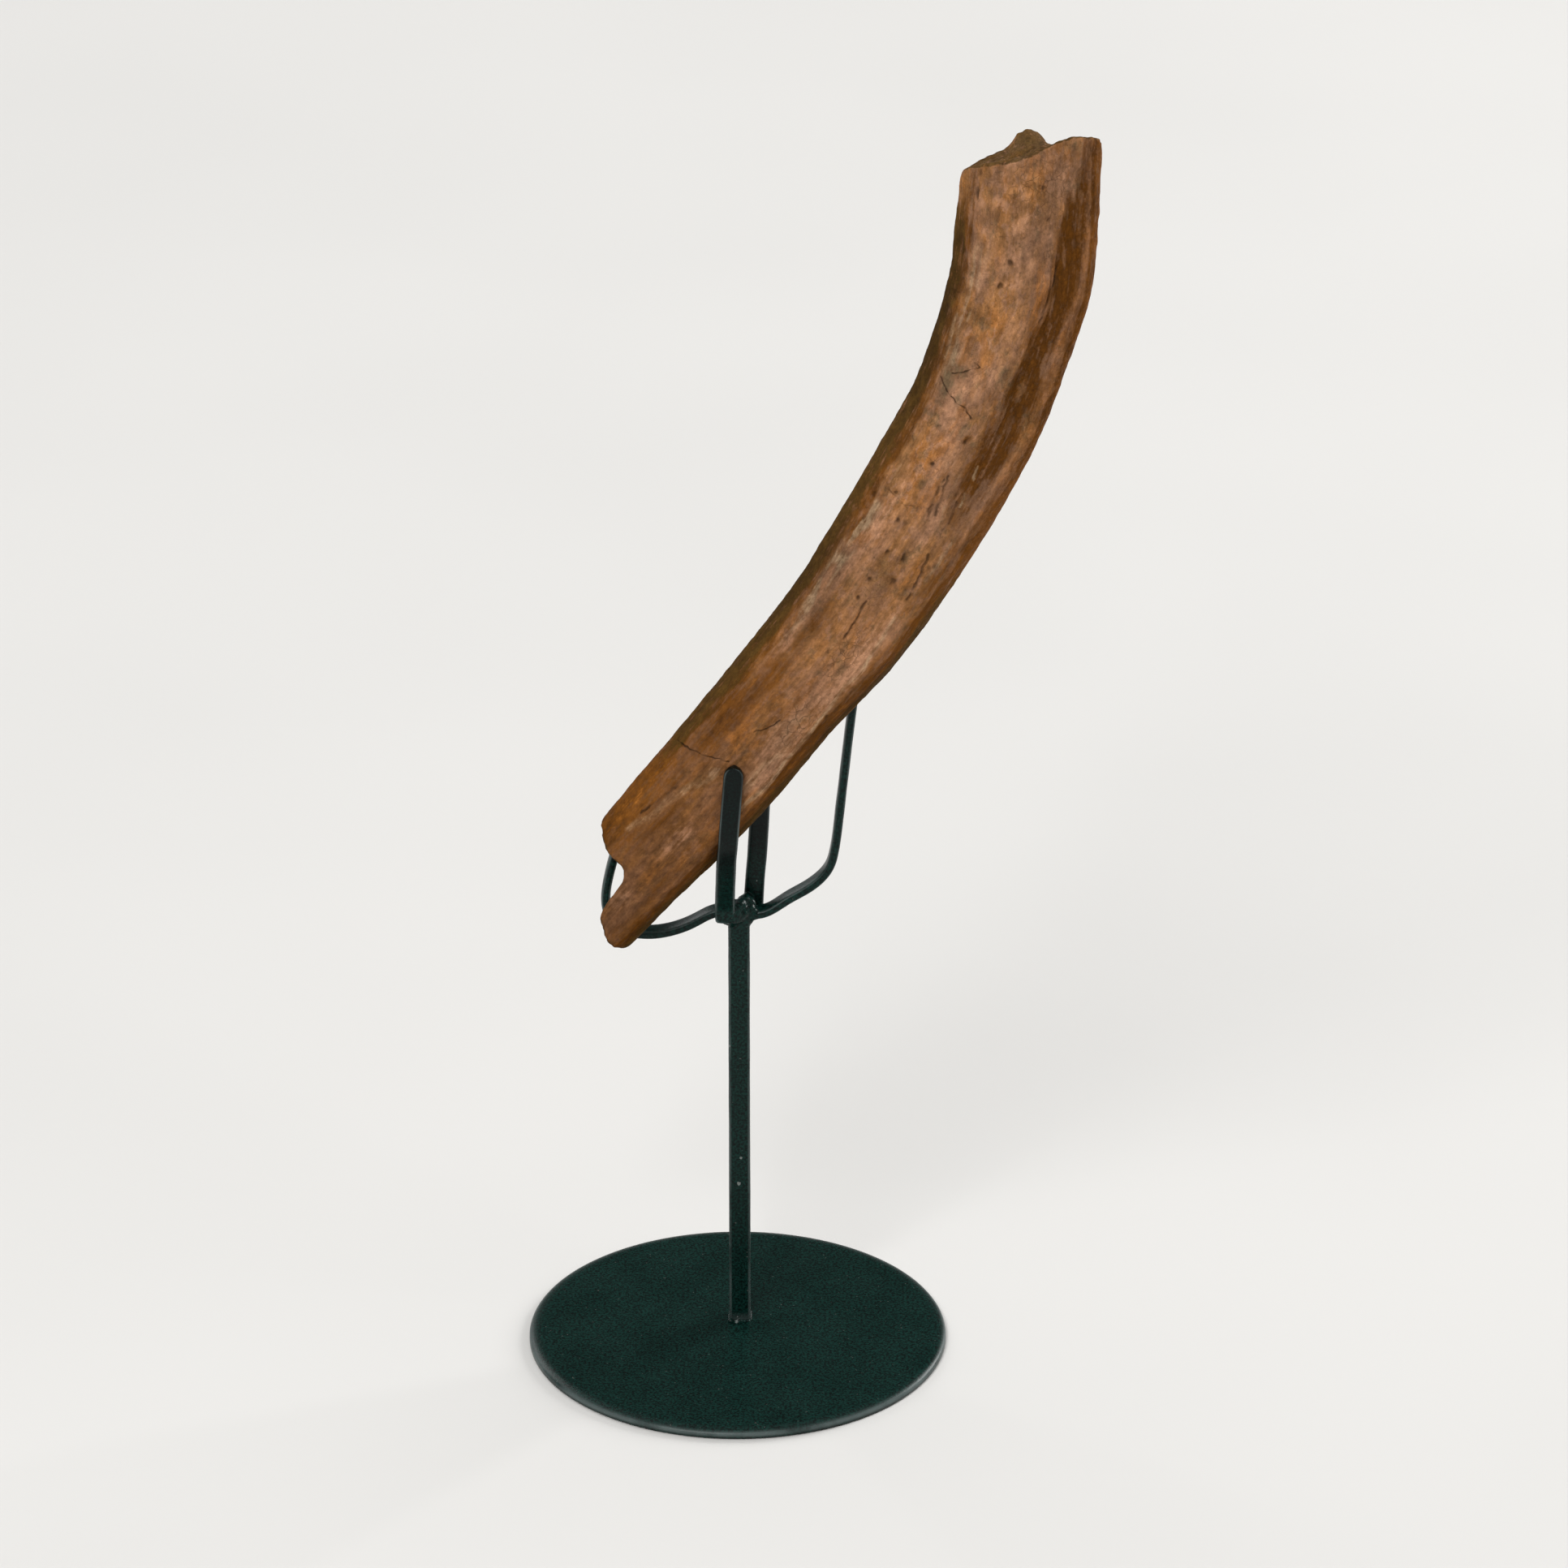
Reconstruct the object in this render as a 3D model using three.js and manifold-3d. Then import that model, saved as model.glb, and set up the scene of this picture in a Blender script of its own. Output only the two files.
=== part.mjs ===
// Fossil dinosaur rib, a broken length of the shaft, held upright in a four-prong steel display stand.
// Millimetres, +Z up. X runs to the right of the broad front face, and +Y runs away behind the rib.
// The origin is the centre of the base plate's underside.

import * as THREE from 'three';
import { mergeVertices } from 'three/addons/utils/BufferGeometryUtils.js';
import Module from 'manifold-3d';

const wasm = await Module();
wasm.setup();

// ---- Driving dimensions -------------------------------------------------------------------------

const seatGap = 0.3; // running gap between pieces that touch or are welded together

const plateRadius = 50.8; // a four-inch disc
const plateThickness = 2.5;
const plateShoulderWidth = 3.6; // the rounded band between the flat top and the rim
const plateRimHeight = 1.1;
const plateSegments = 80;

const postSize = 5.2; // square bar
const postCorner = 0.6; // its eased corners
const postX = 0.55;
const postY = 5.6; // the post stands behind the plate's middle, so that the rib hangs over it
const postTop = 114.9;

const strapWidth = 4.8;
const strapThickness = 2.3;
const strapCorner = 0.45;
const strapStep = 2.6; // distance between the strap's sections
const tipDegrees = [25, 50, 70, 84]; // sections round the strap's half-round tip
const armZ = postTop - 0.1 - strapThickness / 2; // middle of the side straps where they leave the post

// The rib's shaft, from below its broken lower end to above its broken top. x, z is the middle of the
// shaft seen from the front, y the middle of its depth; width is across the face and depth through it.
const ribStations = [
  { x: -36.4, y: -5.2, z: 114.9, width: 23.8, depth: 11.5 },
  { x: -25.0, y: -5.2, z: 129.4, width: 26.0, depth: 13.0 },
  { x: -14.3, y: -5.1, z: 142.2, width: 27.8, depth: 14.0 },
  { x: -3.8, y: -5.0, z: 154.8, width: 28.6, depth: 14.4 },
  { x: 10.7, y: -5.2, z: 174.0, width: 28.7, depth: 14.8 },
  { x: 25.1, y: -5.6, z: 192.7, width: 31.0, depth: 15.0 },
  { x: 36.6, y: -6.0, z: 211.5, width: 31.8, depth: 15.2 },
  { x: 46.8, y: -6.2, z: 230.0, width: 32.0, depth: 15.4 },
  { x: 55.8, y: -6.0, z: 248.3, width: 31.8, depth: 15.8 },
  { x: 61.9, y: -5.5, z: 266.5, width: 32.1, depth: 16.4 },
  { x: 65.4, y: -4.9, z: 279.6, width: 32.8, depth: 16.8 },
  { x: 66.7, y: -4.3, z: 293.0, width: 32.4, depth: 17.0 },
  { x: 67.6, y: -3.8, z: 306.0, width: 31.4, depth: 17.0 },
  { x: 68.3, y: -3.3, z: 321.0, width: 30.8, depth: 17.0 },
];
const ribRings = 74;
const ribFaceSteps = 17; // points across the front face, and as many across the back

const crestFromEdge = 5.6; // both bevels start at a crest this far in from the shaft's edge
const bevelDrop = 0.6; // how much of the half depth a bevel takes off before the edge
const faceCrown = 0.5; // how far the front face swells in its middle
const keelHeight = 0.6; // a low ridge along the back
const frontEdgePower = 12; // a crisp edge in front
const backEdgePower = 3.2; // a round one behind

// The long channel beside the right edge of the upper half. Starts and ends are shares of the shaft's
// length, and across is a share of its half width.
const groove = {
  depth: 2.3,
  halfWidth: 3.0,
  start: 0.5,
  full: 0.66,
  fading: 0.9,
  end: 0.97,
  lowerAcross: 0.4,
  upperAcross: 0.64,
};

// The broken top. The front lip climbs to the right and the rear lip is lower and nearly level, with a
// lump of bone on it; a shallow hollow lies between them.
const frontLip = { x: 52, z: 310, slope: 0.14, cornerRise: 4.0, cornerFrom: 63, cornerTo: 78 };
const rearLip = { x: 54, z: 305, slope: 0.45, levelAfter: 9, swell: 0.9, swellX: 57.6, swellWidth: 2.6 };
const lump = { height: 4.15, riseFrom: 62, riseTo: 65.5, fallFrom: 69, fallTo: 72, y: 3.5, depth: 4.0 };
const hollow = { depth: 1.6, x: 62, halfWidth: 6, y: -4, halfDepth: 3 };
const lipsY = [-12, 3]; // where the front lip and the rear lip run
const breakBlock = { x: 68, y: -4, z: 330, width: 44, depth: 28, height: 30, columns: 22, rows: 12 };

// ---- Small helpers ------------------------------------------------------------------------------

const lerp = THREE.MathUtils.lerp;
const smoothstep = THREE.MathUtils.smoothstep;

function bell(distance, halfWidth) {
  return Math.exp(-0.5 * (distance / halfWidth) ** 2);
}

// A closed solid through a row of rings with equal counts of points, its two ends closed by fans.
function loftRings(rings) {
  const count = rings[0].length;
  const points = rings.flat();
  const faces = [];
  for (let r = 0; r + 1 < rings.length; r++) {
    for (let k = 0; k < count; k++) {
      const a = r * count + k;
      const b = r * count + ((k + 1) % count);
      faces.push(a, b, b + count, a, b + count, a + count);
    }
  }
  const last = (rings.length - 1) * count;
  const startMiddle = points.push(middleOf(rings[0])) - 1;
  const endMiddle = points.push(middleOf(rings.at(-1))) - 1;
  for (let k = 0; k < count; k++) {
    const next = (k + 1) % count;
    faces.push(startMiddle, next, k);
    faces.push(endMiddle, last + k, last + next);
  }
  const geometry = new THREE.BufferGeometry().setFromPoints(points);
  geometry.setIndex(faces);
  return geometry;
}

function middleOf(ring) {
  const sum = new THREE.Vector3();
  for (const point of ring) {
    sum.add(point);
  }
  return sum.divideScalar(ring.length);
}

function toSolid(geometry) {
  const bare = geometry.clone();
  bare.deleteAttribute('normal');
  bare.deleteAttribute('uv');
  const merged = mergeVertices(bare, 1e-4);
  return new wasm.Manifold(
    new wasm.Mesh({
      numProp: 3,
      vertProperties: new Float32Array(merged.attributes.position.array),
      triVerts: new Uint32Array(merged.index.array),
    }),
  );
}

function toGeometry(solid) {
  const mesh = solid.getMesh();
  const geometry = new THREE.BufferGeometry();
  geometry.setAttribute('position', new THREE.BufferAttribute(mesh.vertProperties, 3));
  geometry.setIndex(new THREE.BufferAttribute(mesh.triVerts, 1));
  geometry.computeVertexNormals();
  return geometry;
}

function namedMesh(name, geometry, material) {
  const mesh = new THREE.Mesh(geometry, material);
  mesh.name = name;
  return mesh;
}

// ---- The rib ------------------------------------------------------------------------------------

// Depth of the front face in front of the shaft's middle. across runs from -half to +half width, and
// along from 0 at the lower end to 1 at the top.
function frontDepth(across, along, half, depth) {
  const full = depth / 2;
  const crest = half - crestFromEdge;
  const grooved =
    smoothstep(along, groove.start, groove.full) * (1 - smoothstep(along, groove.fading, groove.end));
  const leftBevel = Math.max(0, (-across - crest) / crestFromEdge);
  const rightBevel = Math.max(0, (across - crest) / crestFromEdge) * (1 - 0.75 * grooved);
  const plateau = 1 - bevelDrop * (leftBevel + rightBevel);
  const crown = faceCrown * (1 - (across / half) ** 2);
  const outward = smoothstep(along, groove.start, groove.fading);
  const grooveAcross = half * lerp(groove.lowerAcross, groove.upperAcross, outward);
  const channel = groove.depth * grooved * bell(across - grooveAcross, groove.halfWidth);
  return (full * plateau + crown - channel) * edgeRounding(across / half, frontEdgePower);
}

// Depth of the back face behind the shaft's middle: a fuller curve with a low keel off its middle.
function backDepth(across, along, half, depth) {
  const keel = keelHeight * bell(across + 0.2 * half, 0.3 * half);
  return (depth / 2 - keelHeight + keel) * edgeRounding(across / half, backEdgePower);
}

// 1 over the face and 0 at the edge; a higher power keeps the face full for longer.
function edgeRounding(share, power) {
  return Math.sqrt(Math.max(0, 1 - Math.abs(share) ** power));
}

// One ring of points round the shaft: across the front from the left edge, and back behind.
function ribRing(centre, tangent, along, width, depth) {
  const half = width / 2;
  const toRight = new THREE.Vector3(tangent.z, 0, -tangent.x).normalize();
  const behind = new THREE.Vector3(0, 1, 0);
  const ring = [];
  for (let k = 0; k < 2 * ribFaceSteps; k++) {
    const angle = (Math.PI * k) / ribFaceSteps;
    const across = -half * Math.cos(angle);
    const offset =
      k <= ribFaceSteps
        ? -frontDepth(across, along, half, depth)
        : backDepth(across, along, half, depth);
    ring.push(centre.clone().addScaledVector(toRight, across).addScaledVector(behind, offset));
  }
  return ring;
}

function ribShaft() {
  const spine = new THREE.CatmullRomCurve3(
    ribStations.map((s) => new THREE.Vector3(s.x, s.y, s.z)),
    false,
    'centripetal',
  );
  const sizes = new THREE.CatmullRomCurve3(
    ribStations.map((s, i) => new THREE.Vector3(s.width, s.depth, i)),
  );
  const rings = [];
  for (let r = 0; r <= ribRings; r++) {
    const along = r / ribRings;
    const size = sizes.getPoint(along);
    rings.push(ribRing(spine.getPoint(along), spine.getTangent(along), along, size.x, size.y));
  }
  return loftRings(rings);
}

// Height of the broken top over a point.
function topBreakHeight(x, y) {
  const behind = THREE.MathUtils.clamp((y - lipsY[0]) / (lipsY[1] - lipsY[0]), 0, 1);
  const corner = frontLip.cornerRise * smoothstep(x, frontLip.cornerFrom, frontLip.cornerTo);
  const front = frontLip.z + frontLip.slope * (x - frontLip.x) + corner;
  const climb = rearLip.slope * Math.min(x - rearLip.x, rearLip.levelAfter);
  const rear = rearLip.z + climb + rearLip.swell * bell(x - rearLip.swellX, rearLip.swellWidth);
  const lumpSides =
    smoothstep(x, lump.riseFrom, lump.riseTo) * (1 - smoothstep(x, lump.fallFrom, lump.fallTo));
  const raised = lump.height * lumpSides * bell(y - lump.y, lump.depth);
  const sunk = hollow.depth * bell(x - hollow.x, hollow.halfWidth) * bell(y - hollow.y, hollow.halfDepth);
  return lerp(front, rear, behind) + raised - sunk;
}

// Everything above the broken top, as a block with that surface underneath.
function aboveTopBreak() {
  const { x, y, z, width, depth, height, columns, rows } = breakBlock;
  const block = new THREE.BoxGeometry(width, depth, height, columns, rows, 1);
  block.translate(x, y, z);
  const position = block.attributes.position;
  for (let i = 0; i < position.count; i++) {
    if (position.getZ(i) < z) {
      position.setZ(i, topBreakHeight(position.getX(i), position.getY(i)));
    }
  }
  return block;
}

// The broken lower end, at the front face: two worn lobes with a scooped notch between them.
const lowerBreakOutline = [
  [-33.4, 144.6],
  [-32.4, 141.6],
  [-32.2, 139.8],
  [-31.4, 138.2],
  [-30.3, 136.2],
  [-28.9, 134.7],
  [-27.4, 133.5],
  [-26.6, 131.6],
  [-26.9, 129.4],
  [-28.4, 127.0],
  [-30.0, 124.8],
  [-31.8, 122.0],
  [-32.6, 119.9],
  [-32.2, 117.2],
  [-31.5, 114.2],
  [-30.6, 112.0],
  [-29.3, 110.9],
  [-27.6, 110.9],
  [-25.8, 111.8],
  [-23.4, 112.6],
  [-20.0, 112.0],
];
const clearOfBone = { left: -60, right: -20, below: 95, above: 144.6 };
const breakSlices = [
  { y: -20, inX: -1.4, inZ: -0.6 },
  { y: -10.5, inX: 0, inZ: 0 },
  { y: -4, inX: 1.4, inZ: -3.0 },
  { y: 8, inX: 6.4, inZ: -9.5 },
];

// Everything past the lower break. The break slopes, so that the bone reaches furthest at its front.
function pastLowerBreak() {
  const { left, right, below, above } = clearOfBone;
  const corners = [
    [right, below],
    [left, below],
    [left, above],
  ];
  const rings = breakSlices.map(({ y, inX, inZ }) => [
    ...lowerBreakOutline.map(([x, z]) => new THREE.Vector3(x + inX, y, z + inZ)),
    ...corners.map(([x, z]) => new THREE.Vector3(x, y, z)),
  ]);
  return loftRings(rings);
}

function ribGeometry() {
  const shaft = toSolid(ribShaft());
  const solid = shaft.subtract(toSolid(aboveTopBreak())).subtract(toSolid(pastLowerBreak()));
  return toGeometry(solid);
}

// ---- The stand ----------------------------------------------------------------------------------

function basePlateGeometry() {
  const flat = plateRadius - plateShoulderWidth;
  const profile = [
    [0, 0],
    [plateRadius - 0.4, 0],
    [plateRadius, 0.4],
    [plateRadius, plateRimHeight],
    [flat + 0.78 * plateShoulderWidth, lerp(plateRimHeight, plateThickness, 0.5)],
    [flat + 0.42 * plateShoulderWidth, lerp(plateRimHeight, plateThickness, 0.85)],
    [flat, plateThickness],
    [0, plateThickness],
  ];
  const geometry = new THREE.LatheGeometry(
    profile.map(([radius, height]) => new THREE.Vector2(radius, height)),
    plateSegments,
  );
  return geometry.rotateX(Math.PI / 2);
}

// A rectangle with eased corners, centred on the origin.
function easedRectangle(width, height, corner) {
  const w = width / 2;
  const h = height / 2;
  return [
    [w, -h + corner],
    [w, h - corner],
    [w - corner, h],
    [-w + corner, h],
    [-w, h - corner],
    [-w, -h + corner],
    [-w + corner, -h],
    [w - corner, -h],
  ];
}

function postGeometry() {
  const corners = easedRectangle(postSize, postSize, postCorner);
  const section = new THREE.Shape(corners.map(([x, y]) => new THREE.Vector2(x, y)));
  const geometry = new THREE.ExtrudeGeometry(section, {
    depth: postTop - plateThickness,
    bevelEnabled: false,
  });
  return geometry.translate(postX, postY, plateThickness);
}

// A flat strap bent along a route. Its width lies along widthAxis, turned square to the route, and its
// far end is rounded off.
function strapGeometry(route, widthAxis) {
  const curve = new THREE.CatmullRomCurve3(
    route.map(([x, y, z]) => new THREE.Vector3(x, y, z)),
    false,
    'centripetal',
  );
  const length = curve.getLength();
  const tipRadius = strapWidth / 2;
  const steps = Math.round(length / strapStep);
  const shares = [];
  for (let i = 0; i <= steps; i++) {
    shares.push((i / steps) * (1 - tipRadius / length));
  }
  for (const degrees of tipDegrees) {
    const ahead = tipRadius * Math.sin(THREE.MathUtils.degToRad(degrees));
    shares.push(1 - (tipRadius - ahead) / length);
  }
  const rings = shares.map((share) => {
    const centre = curve.getPointAt(share);
    const tangent = curve.getTangentAt(share);
    const across = widthAxis.clone().addScaledVector(tangent, -widthAxis.dot(tangent)).normalize();
    const through = new THREE.Vector3().crossVectors(tangent, across);
    const pastShoulder = Math.max(0, share * length - (length - tipRadius));
    const halfTip = Math.sqrt(tipRadius ** 2 - pastShoulder ** 2);
    const section = easedRectangle(2 * halfTip, strapThickness, Math.min(strapCorner, 0.6 * halfTip));
    return section.map(([a, b]) =>
      centre.clone().addScaledVector(across, a).addScaledVector(through, b),
    );
  });
  return loftRings(rings);
}

const alongX = new THREE.Vector3(1, 0, 0);
const alongY = new THREE.Vector3(0, 1, 0);
const postLeft = postX - postSize / 2;
const postRight = postX + postSize / 2;
const postFront = postY - postSize / 2;
const postBack = postY + postSize / 2;

// Where each strap runs: its middle line from the weld at the post's top to its rounded tip.
const frontFootY = postFront - seatGap - strapThickness / 2;
const backFootY = postBack + seatGap + strapThickness / 2;
const strapRoutes = {
  prong_front: [
    [-2.85, frontFootY, 111.8],
    [-2.8, frontFootY - 0.1, 115.4],
    [-2.7, -2.4, 121.6],
    [-2.5, -6.8, 128.0],
    [-2.3, -10.9, 134.4],
    [-1.9, -13.7, 139.8],
    [-1.6, -14.6, 144.6],
    [-1.1, -14.5, 151.0],
    [-0.35, -14.5, 160.6],
  ],
  prong_back: [
    [4.0, backFootY, 111.2],
    [4.2, backFootY, 117.0],
    [4.8, 8.6, 125.6],
    [5.3, 6.2, 134.4],
    [5.7, 3.8, 143.6],
    [6.0, 3.0, 149.6],
    [6.2, 3.0, 156.0],
  ],
  prong_left: [
    [postLeft - seatGap, postY, armZ - 0.2],
    [-5.6, postY, armZ - 0.6],
    [-11.0, postY, 110.0],
    [-17.0, postY, 107.8],
    [-22.5, postY, 107.4],
    [-27.6, postY, 108.6],
    [-30.6, postY, 112.4],
    [-31.3, 5.5, 117.0],
    [-30.5, 5.2, 122.6],
    [-28.9, 4.3, 129.4],
    [-26.4, 3.7, 138.6],
  ],
  prong_right: [
    [postRight + seatGap, postY, armZ - 1.0],
    [6.8, postY, armZ - 0.7],
    [12.2, postY, 116.6],
    [18.4, postY, 120.6],
    [22.0, postY, 124.6],
    [23.5, postY, 130.4],
    [24.5, 5.4, 139.4],
    [25.6, 5.0, 150.0],
    [26.8, 4.6, 161.6],
    [28.2, 3.7, 174.0],
    [29.3, 3.3, 184.0],
  ],
};

// ---- Materials and assembly ---------------------------------------------------------------------

const bone = new THREE.MeshStandardMaterial({ color: 0x9a6848, roughness: 0.75, metalness: 0 });
const paint = new THREE.MeshStandardMaterial({ color: 0x1b2422, roughness: 0.42, metalness: 0.1 });

const fossilRib = new THREE.Group();
fossilRib.add(namedMesh('rib', ribGeometry(), bone));
fossilRib.add(namedMesh('base_plate', basePlateGeometry(), paint));
fossilRib.add(namedMesh('post', postGeometry(), paint));
for (const [name, route] of Object.entries(strapRoutes)) {
  const sideways = name === 'prong_left' || name === 'prong_right';
  fossilRib.add(namedMesh(name, strapGeometry(route, sideways ? alongY : alongX), paint));
}

export default fossilRib;
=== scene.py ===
"""A fossil dinosaur rib on its welded steel display stand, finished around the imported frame.

Lengths in PropertyGroups are metres. Places on the bone are millimetres: along the shaft from its lower
end, across it from its middle line, and in depth from front to back.
"""
import math

import bpy
import numpy as np
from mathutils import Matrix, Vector, kdtree, noise


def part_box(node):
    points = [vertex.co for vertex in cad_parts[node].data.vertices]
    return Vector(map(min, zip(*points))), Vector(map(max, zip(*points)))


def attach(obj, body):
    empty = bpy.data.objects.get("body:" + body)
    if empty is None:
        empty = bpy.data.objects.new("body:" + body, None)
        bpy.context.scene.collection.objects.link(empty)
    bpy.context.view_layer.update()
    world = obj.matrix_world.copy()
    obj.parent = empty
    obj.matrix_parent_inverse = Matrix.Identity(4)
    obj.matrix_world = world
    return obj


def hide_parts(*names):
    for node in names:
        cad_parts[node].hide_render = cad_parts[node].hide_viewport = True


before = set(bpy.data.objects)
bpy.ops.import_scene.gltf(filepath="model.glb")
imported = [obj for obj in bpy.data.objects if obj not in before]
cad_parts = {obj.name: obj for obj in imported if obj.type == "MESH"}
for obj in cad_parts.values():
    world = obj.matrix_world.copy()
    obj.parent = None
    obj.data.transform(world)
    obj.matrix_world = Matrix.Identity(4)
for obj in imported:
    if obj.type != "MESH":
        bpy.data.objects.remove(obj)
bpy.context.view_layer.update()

bl_info = {
    "name": "Fossil Rib on a Display Stand",
    "version": (1, 0, 0),
    "blender": (4, 5, 0),
    "location": "3D View > Sidebar > Fossil Rib",
    "description": "Builds the weathered bone, the painted stand and the studio around them",
    "category": "Object",
}

MM = 0.001

# The bone's middle line seen from the front, as (x, y, z, width), from the lower end to the top.
SHAFT_STATIONS = [
    (-36.4, -5.2, 114.9, 23.8),
    (-25.0, -5.2, 129.4, 26.0),
    (-14.3, -5.1, 142.2, 27.8),
    (-3.8, -5.0, 154.8, 28.6),
    (10.7, -5.2, 174.0, 28.7),
    (25.1, -5.6, 192.7, 31.0),
    (36.6, -6.0, 211.5, 31.8),
    (46.8, -6.2, 230.0, 32.0),
    (55.8, -6.0, 248.3, 31.8),
    (61.9, -5.5, 266.5, 32.1),
    (65.4, -4.9, 279.6, 32.8),
    (66.7, -4.3, 293.0, 32.4),
    (67.6, -3.8, 306.0, 31.4),
    (68.3, -3.3, 321.0, 30.8),
]

# Hairline cracks on the front face, as (along, across) points.
CRACKS = [
    [(172.3, -9.8), (173.2, -7.2), (174.8, -5.5), (175.5, -4.0)],
    [(176.6, -5.6), (175.5, -4.0)],
    [(170.0, -12.0), (166.9, -8.5), (165.3, -6.1), (164.7, -3.8), (162.7, -1.5)],
    [(138.0, -10.5), (137.4, -8.9), (136.4, -5.2), (137.1, -3.6)],
    [(52.9, -13.6), (53.8, -11.6), (54.8, -9.6), (55.8, -7.3), (56.7, -4.8), (57.8, -2.1)],
    [(67.6, -2.2), (69.1, -1.0), (71.3, 0.4), (74.5, 1.1)],
]

# Dark furrows that run with the grain.
FURROWS = [
    [(146.4, -0.4), (144.0, -0.6), (140.3, -0.1), (135.6, 0.7)],
    [(147.5, 0.3), (141.1, 1.3), (137.6, 2.0)],
    [(142.6, 5.2), (141.2, 5.4), (137.0, 5.9)],
    [(45.0, -7.6), (43.1, -8.0), (33.8, -9.6)],
    [(110.5, -1.2), (104.0, -0.4), (99.5, -0.2)],
    [(128.0, 5.6), (121.5, 6.6), (116.0, 7.1)],
    [(204.0, 8.2), (196.0, 7.0), (188.0, 5.9)],
]

# Pale streaks that run with the grain, as (points, half width, strength).
PALE_STREAKS = [
    ([(152.2, 5.3), (149.2, 5.8)], 0.22, 0.75),
    ([(145.2, 5.7), (141.8, 6.1)], 0.22, 0.75),
    ([(149.0, 2.2), (145.4, 2.6)], 0.3, 0.5),
    ([(141.0, 3.0), (136.6, 3.6)], 0.3, 0.5),
    ([(133.0, 8.8), (127.0, 8.6), (122.0, 8.2)], 0.4, 0.5),
    ([(110.0, 7.0), (97.5, 7.8), (88.7, 8.2), (76.8, 8.8), (58.8, 8.8), (46.0, 8.4)], 0.5, 0.7),
    ([(54.0, -3.2), (40.0, -6.5), (29.1, -9.1)], 0.8, 0.4),
    ([(70.0, 6.4), (62.0, 5.4), (54.0, 5.0)], 1.1, 0.4),
    ([(186.0, -12.3), (178.3, -12.2), (174.0, -12.0)], 0.5, 0.45),
]

# Soft patches of each stain, as (along, across, half length, half width, strength).
STAINS = {
    "brown": [
        (97.0, -8.2, 11.0, 2.4, 0.7),
        (82.0, -6.8, 10.0, 2.6, 0.8),
        (68.0, -9.2, 17.0, 3.6, 1.0),
        (112.0, 0.0, 13.0, 4.0, 0.4),
        (34.0, -10.0, 26.0, 7.0, 0.7),
        (6.0, -6.0, 10.0, 6.0, 0.5),
        (10.0, 9.5, 12.0, 3.0, 0.6),
        (82.0, 12.6, 50.0, 3.4, 0.9),
        (124.0, 10.8, 16.0, 3.4, 0.6),
        (216.0, -13.5, 14.0, 3.6, 0.6),
        (157.5, -0.5, 1.4, 1.1, 0.8),
        (34.0, -4.6, 11.0, 1.8, 0.7),
        (146.0, 3.0, 9.0, 1.6, 0.5),
        (20.0, 6.5, 12.0, 2.2, 0.5),
        (46.0, 2.4, 8.0, 1.6, 0.4),
    ],
    "orange": [
        (64.5, -4.1, 4.0, 2.4, 0.9),
        (34.0, -12.0, 13.0, 2.6, 0.4),
        (23.5, 2.9, 7.0, 3.4, 0.6),
        (12.0, -6.0, 6.0, 3.0, 0.5),
        (50.0, 11.8, 9.0, 1.2, 0.6),
        (67.0, 11.6, 6.0, 1.1, 0.5),
        (84.0, 11.4, 7.0, 1.0, 0.4),
        (138.5, -1.7, 4.0, 1.5, 0.8),
        (52.0, 8.6, 6.0, 2.2, 0.7),
        (196.0, 4.4, 12.0, 2.4, 0.7),
        (203.0, -6.0, 7.0, 2.0, 0.4),
        (121.0, 4.6, 9.0, 1.6, 0.5),
    ],
    "rosy": [
        (95.0, 6.6, 18.0, 2.4, 1.0),
        (62.0, 7.2, 15.0, 2.2, 0.9),
        (72.0, 3.4, 14.0, 3.6, 0.6),
        (92.0, -10.6, 20.0, 1.3, 0.6),
        (131.0, -8.4, 16.0, 2.6, 0.6),
        (208.0, -2.0, 14.0, 4.0, 0.7),
        (224.0, 6.5, 7.0, 4.0, 0.8),
        (13.0, 0.8, 5.0, 2.6, 0.6),
        (33.0, 1.8, 7.0, 1.8, 0.6),
        (42.0, -7.4, 12.0, 1.2, 0.5),
    ],
    "crazed": [
        (76.0, 4.5, 13.0, 5.0, 1.0),
        (96.0, 2.5, 13.0, 5.5, 0.9),
        (150.0, -5.0, 12.0, 6.0, 0.7),
        (112.0, 0.0, 9.0, 6.0, 0.7),
        (176.0, -5.0, 12.0, 6.0, 0.7),
        (222.0, 2.0, 12.0, 12.0, 0.9),
    ],
    "grey": [
        (169.5, -10.2, 4.5, 2.0, 0.9),
        (173.4, -8.2, 2.6, 2.2, 0.7),
        (175.2, 2.2, 4.5, 2.4, 0.5),
        (181.0, -3.2, 3.0, 2.2, 0.3),
        (166.0, -6.0, 3.0, 1.6, 0.6),
        (74.0, 4.4, 9.0, 4.0, 0.35),
        (114.0, -1.0, 12.0, 3.4, 0.3),
        (205.0, -9.5, 6.0, 3.0, 0.35),
    ],
}

# Single pits on the front face, as (along, across, radius, stretch along the grain).
PITS = [
    (118.2, 1.7, 0.95, 1.2),
    (124.6, 0.9, 0.6, 2.6),
    (115.8, -3.2, 0.5, 1.5),
    (110.3, -3.0, 0.5, 1.6),
    (123.8, -3.1, 0.45, 1.8),
    (148.7, -4.9, 0.6, 1.1),
    (156.9, -0.4, 0.6, 1.2),
    (132.3, -5.1, 0.5, 1.5),
    (202.8, -3.3, 0.7, 1.1),
    (196.8, -5.0, 0.55, 1.6),
    (218.4, -12.2, 0.55, 3.4),
    (221.2, 3.0, 0.6, 1.2),
    (213.6, 4.8, 0.7, 1.9),
]

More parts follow.
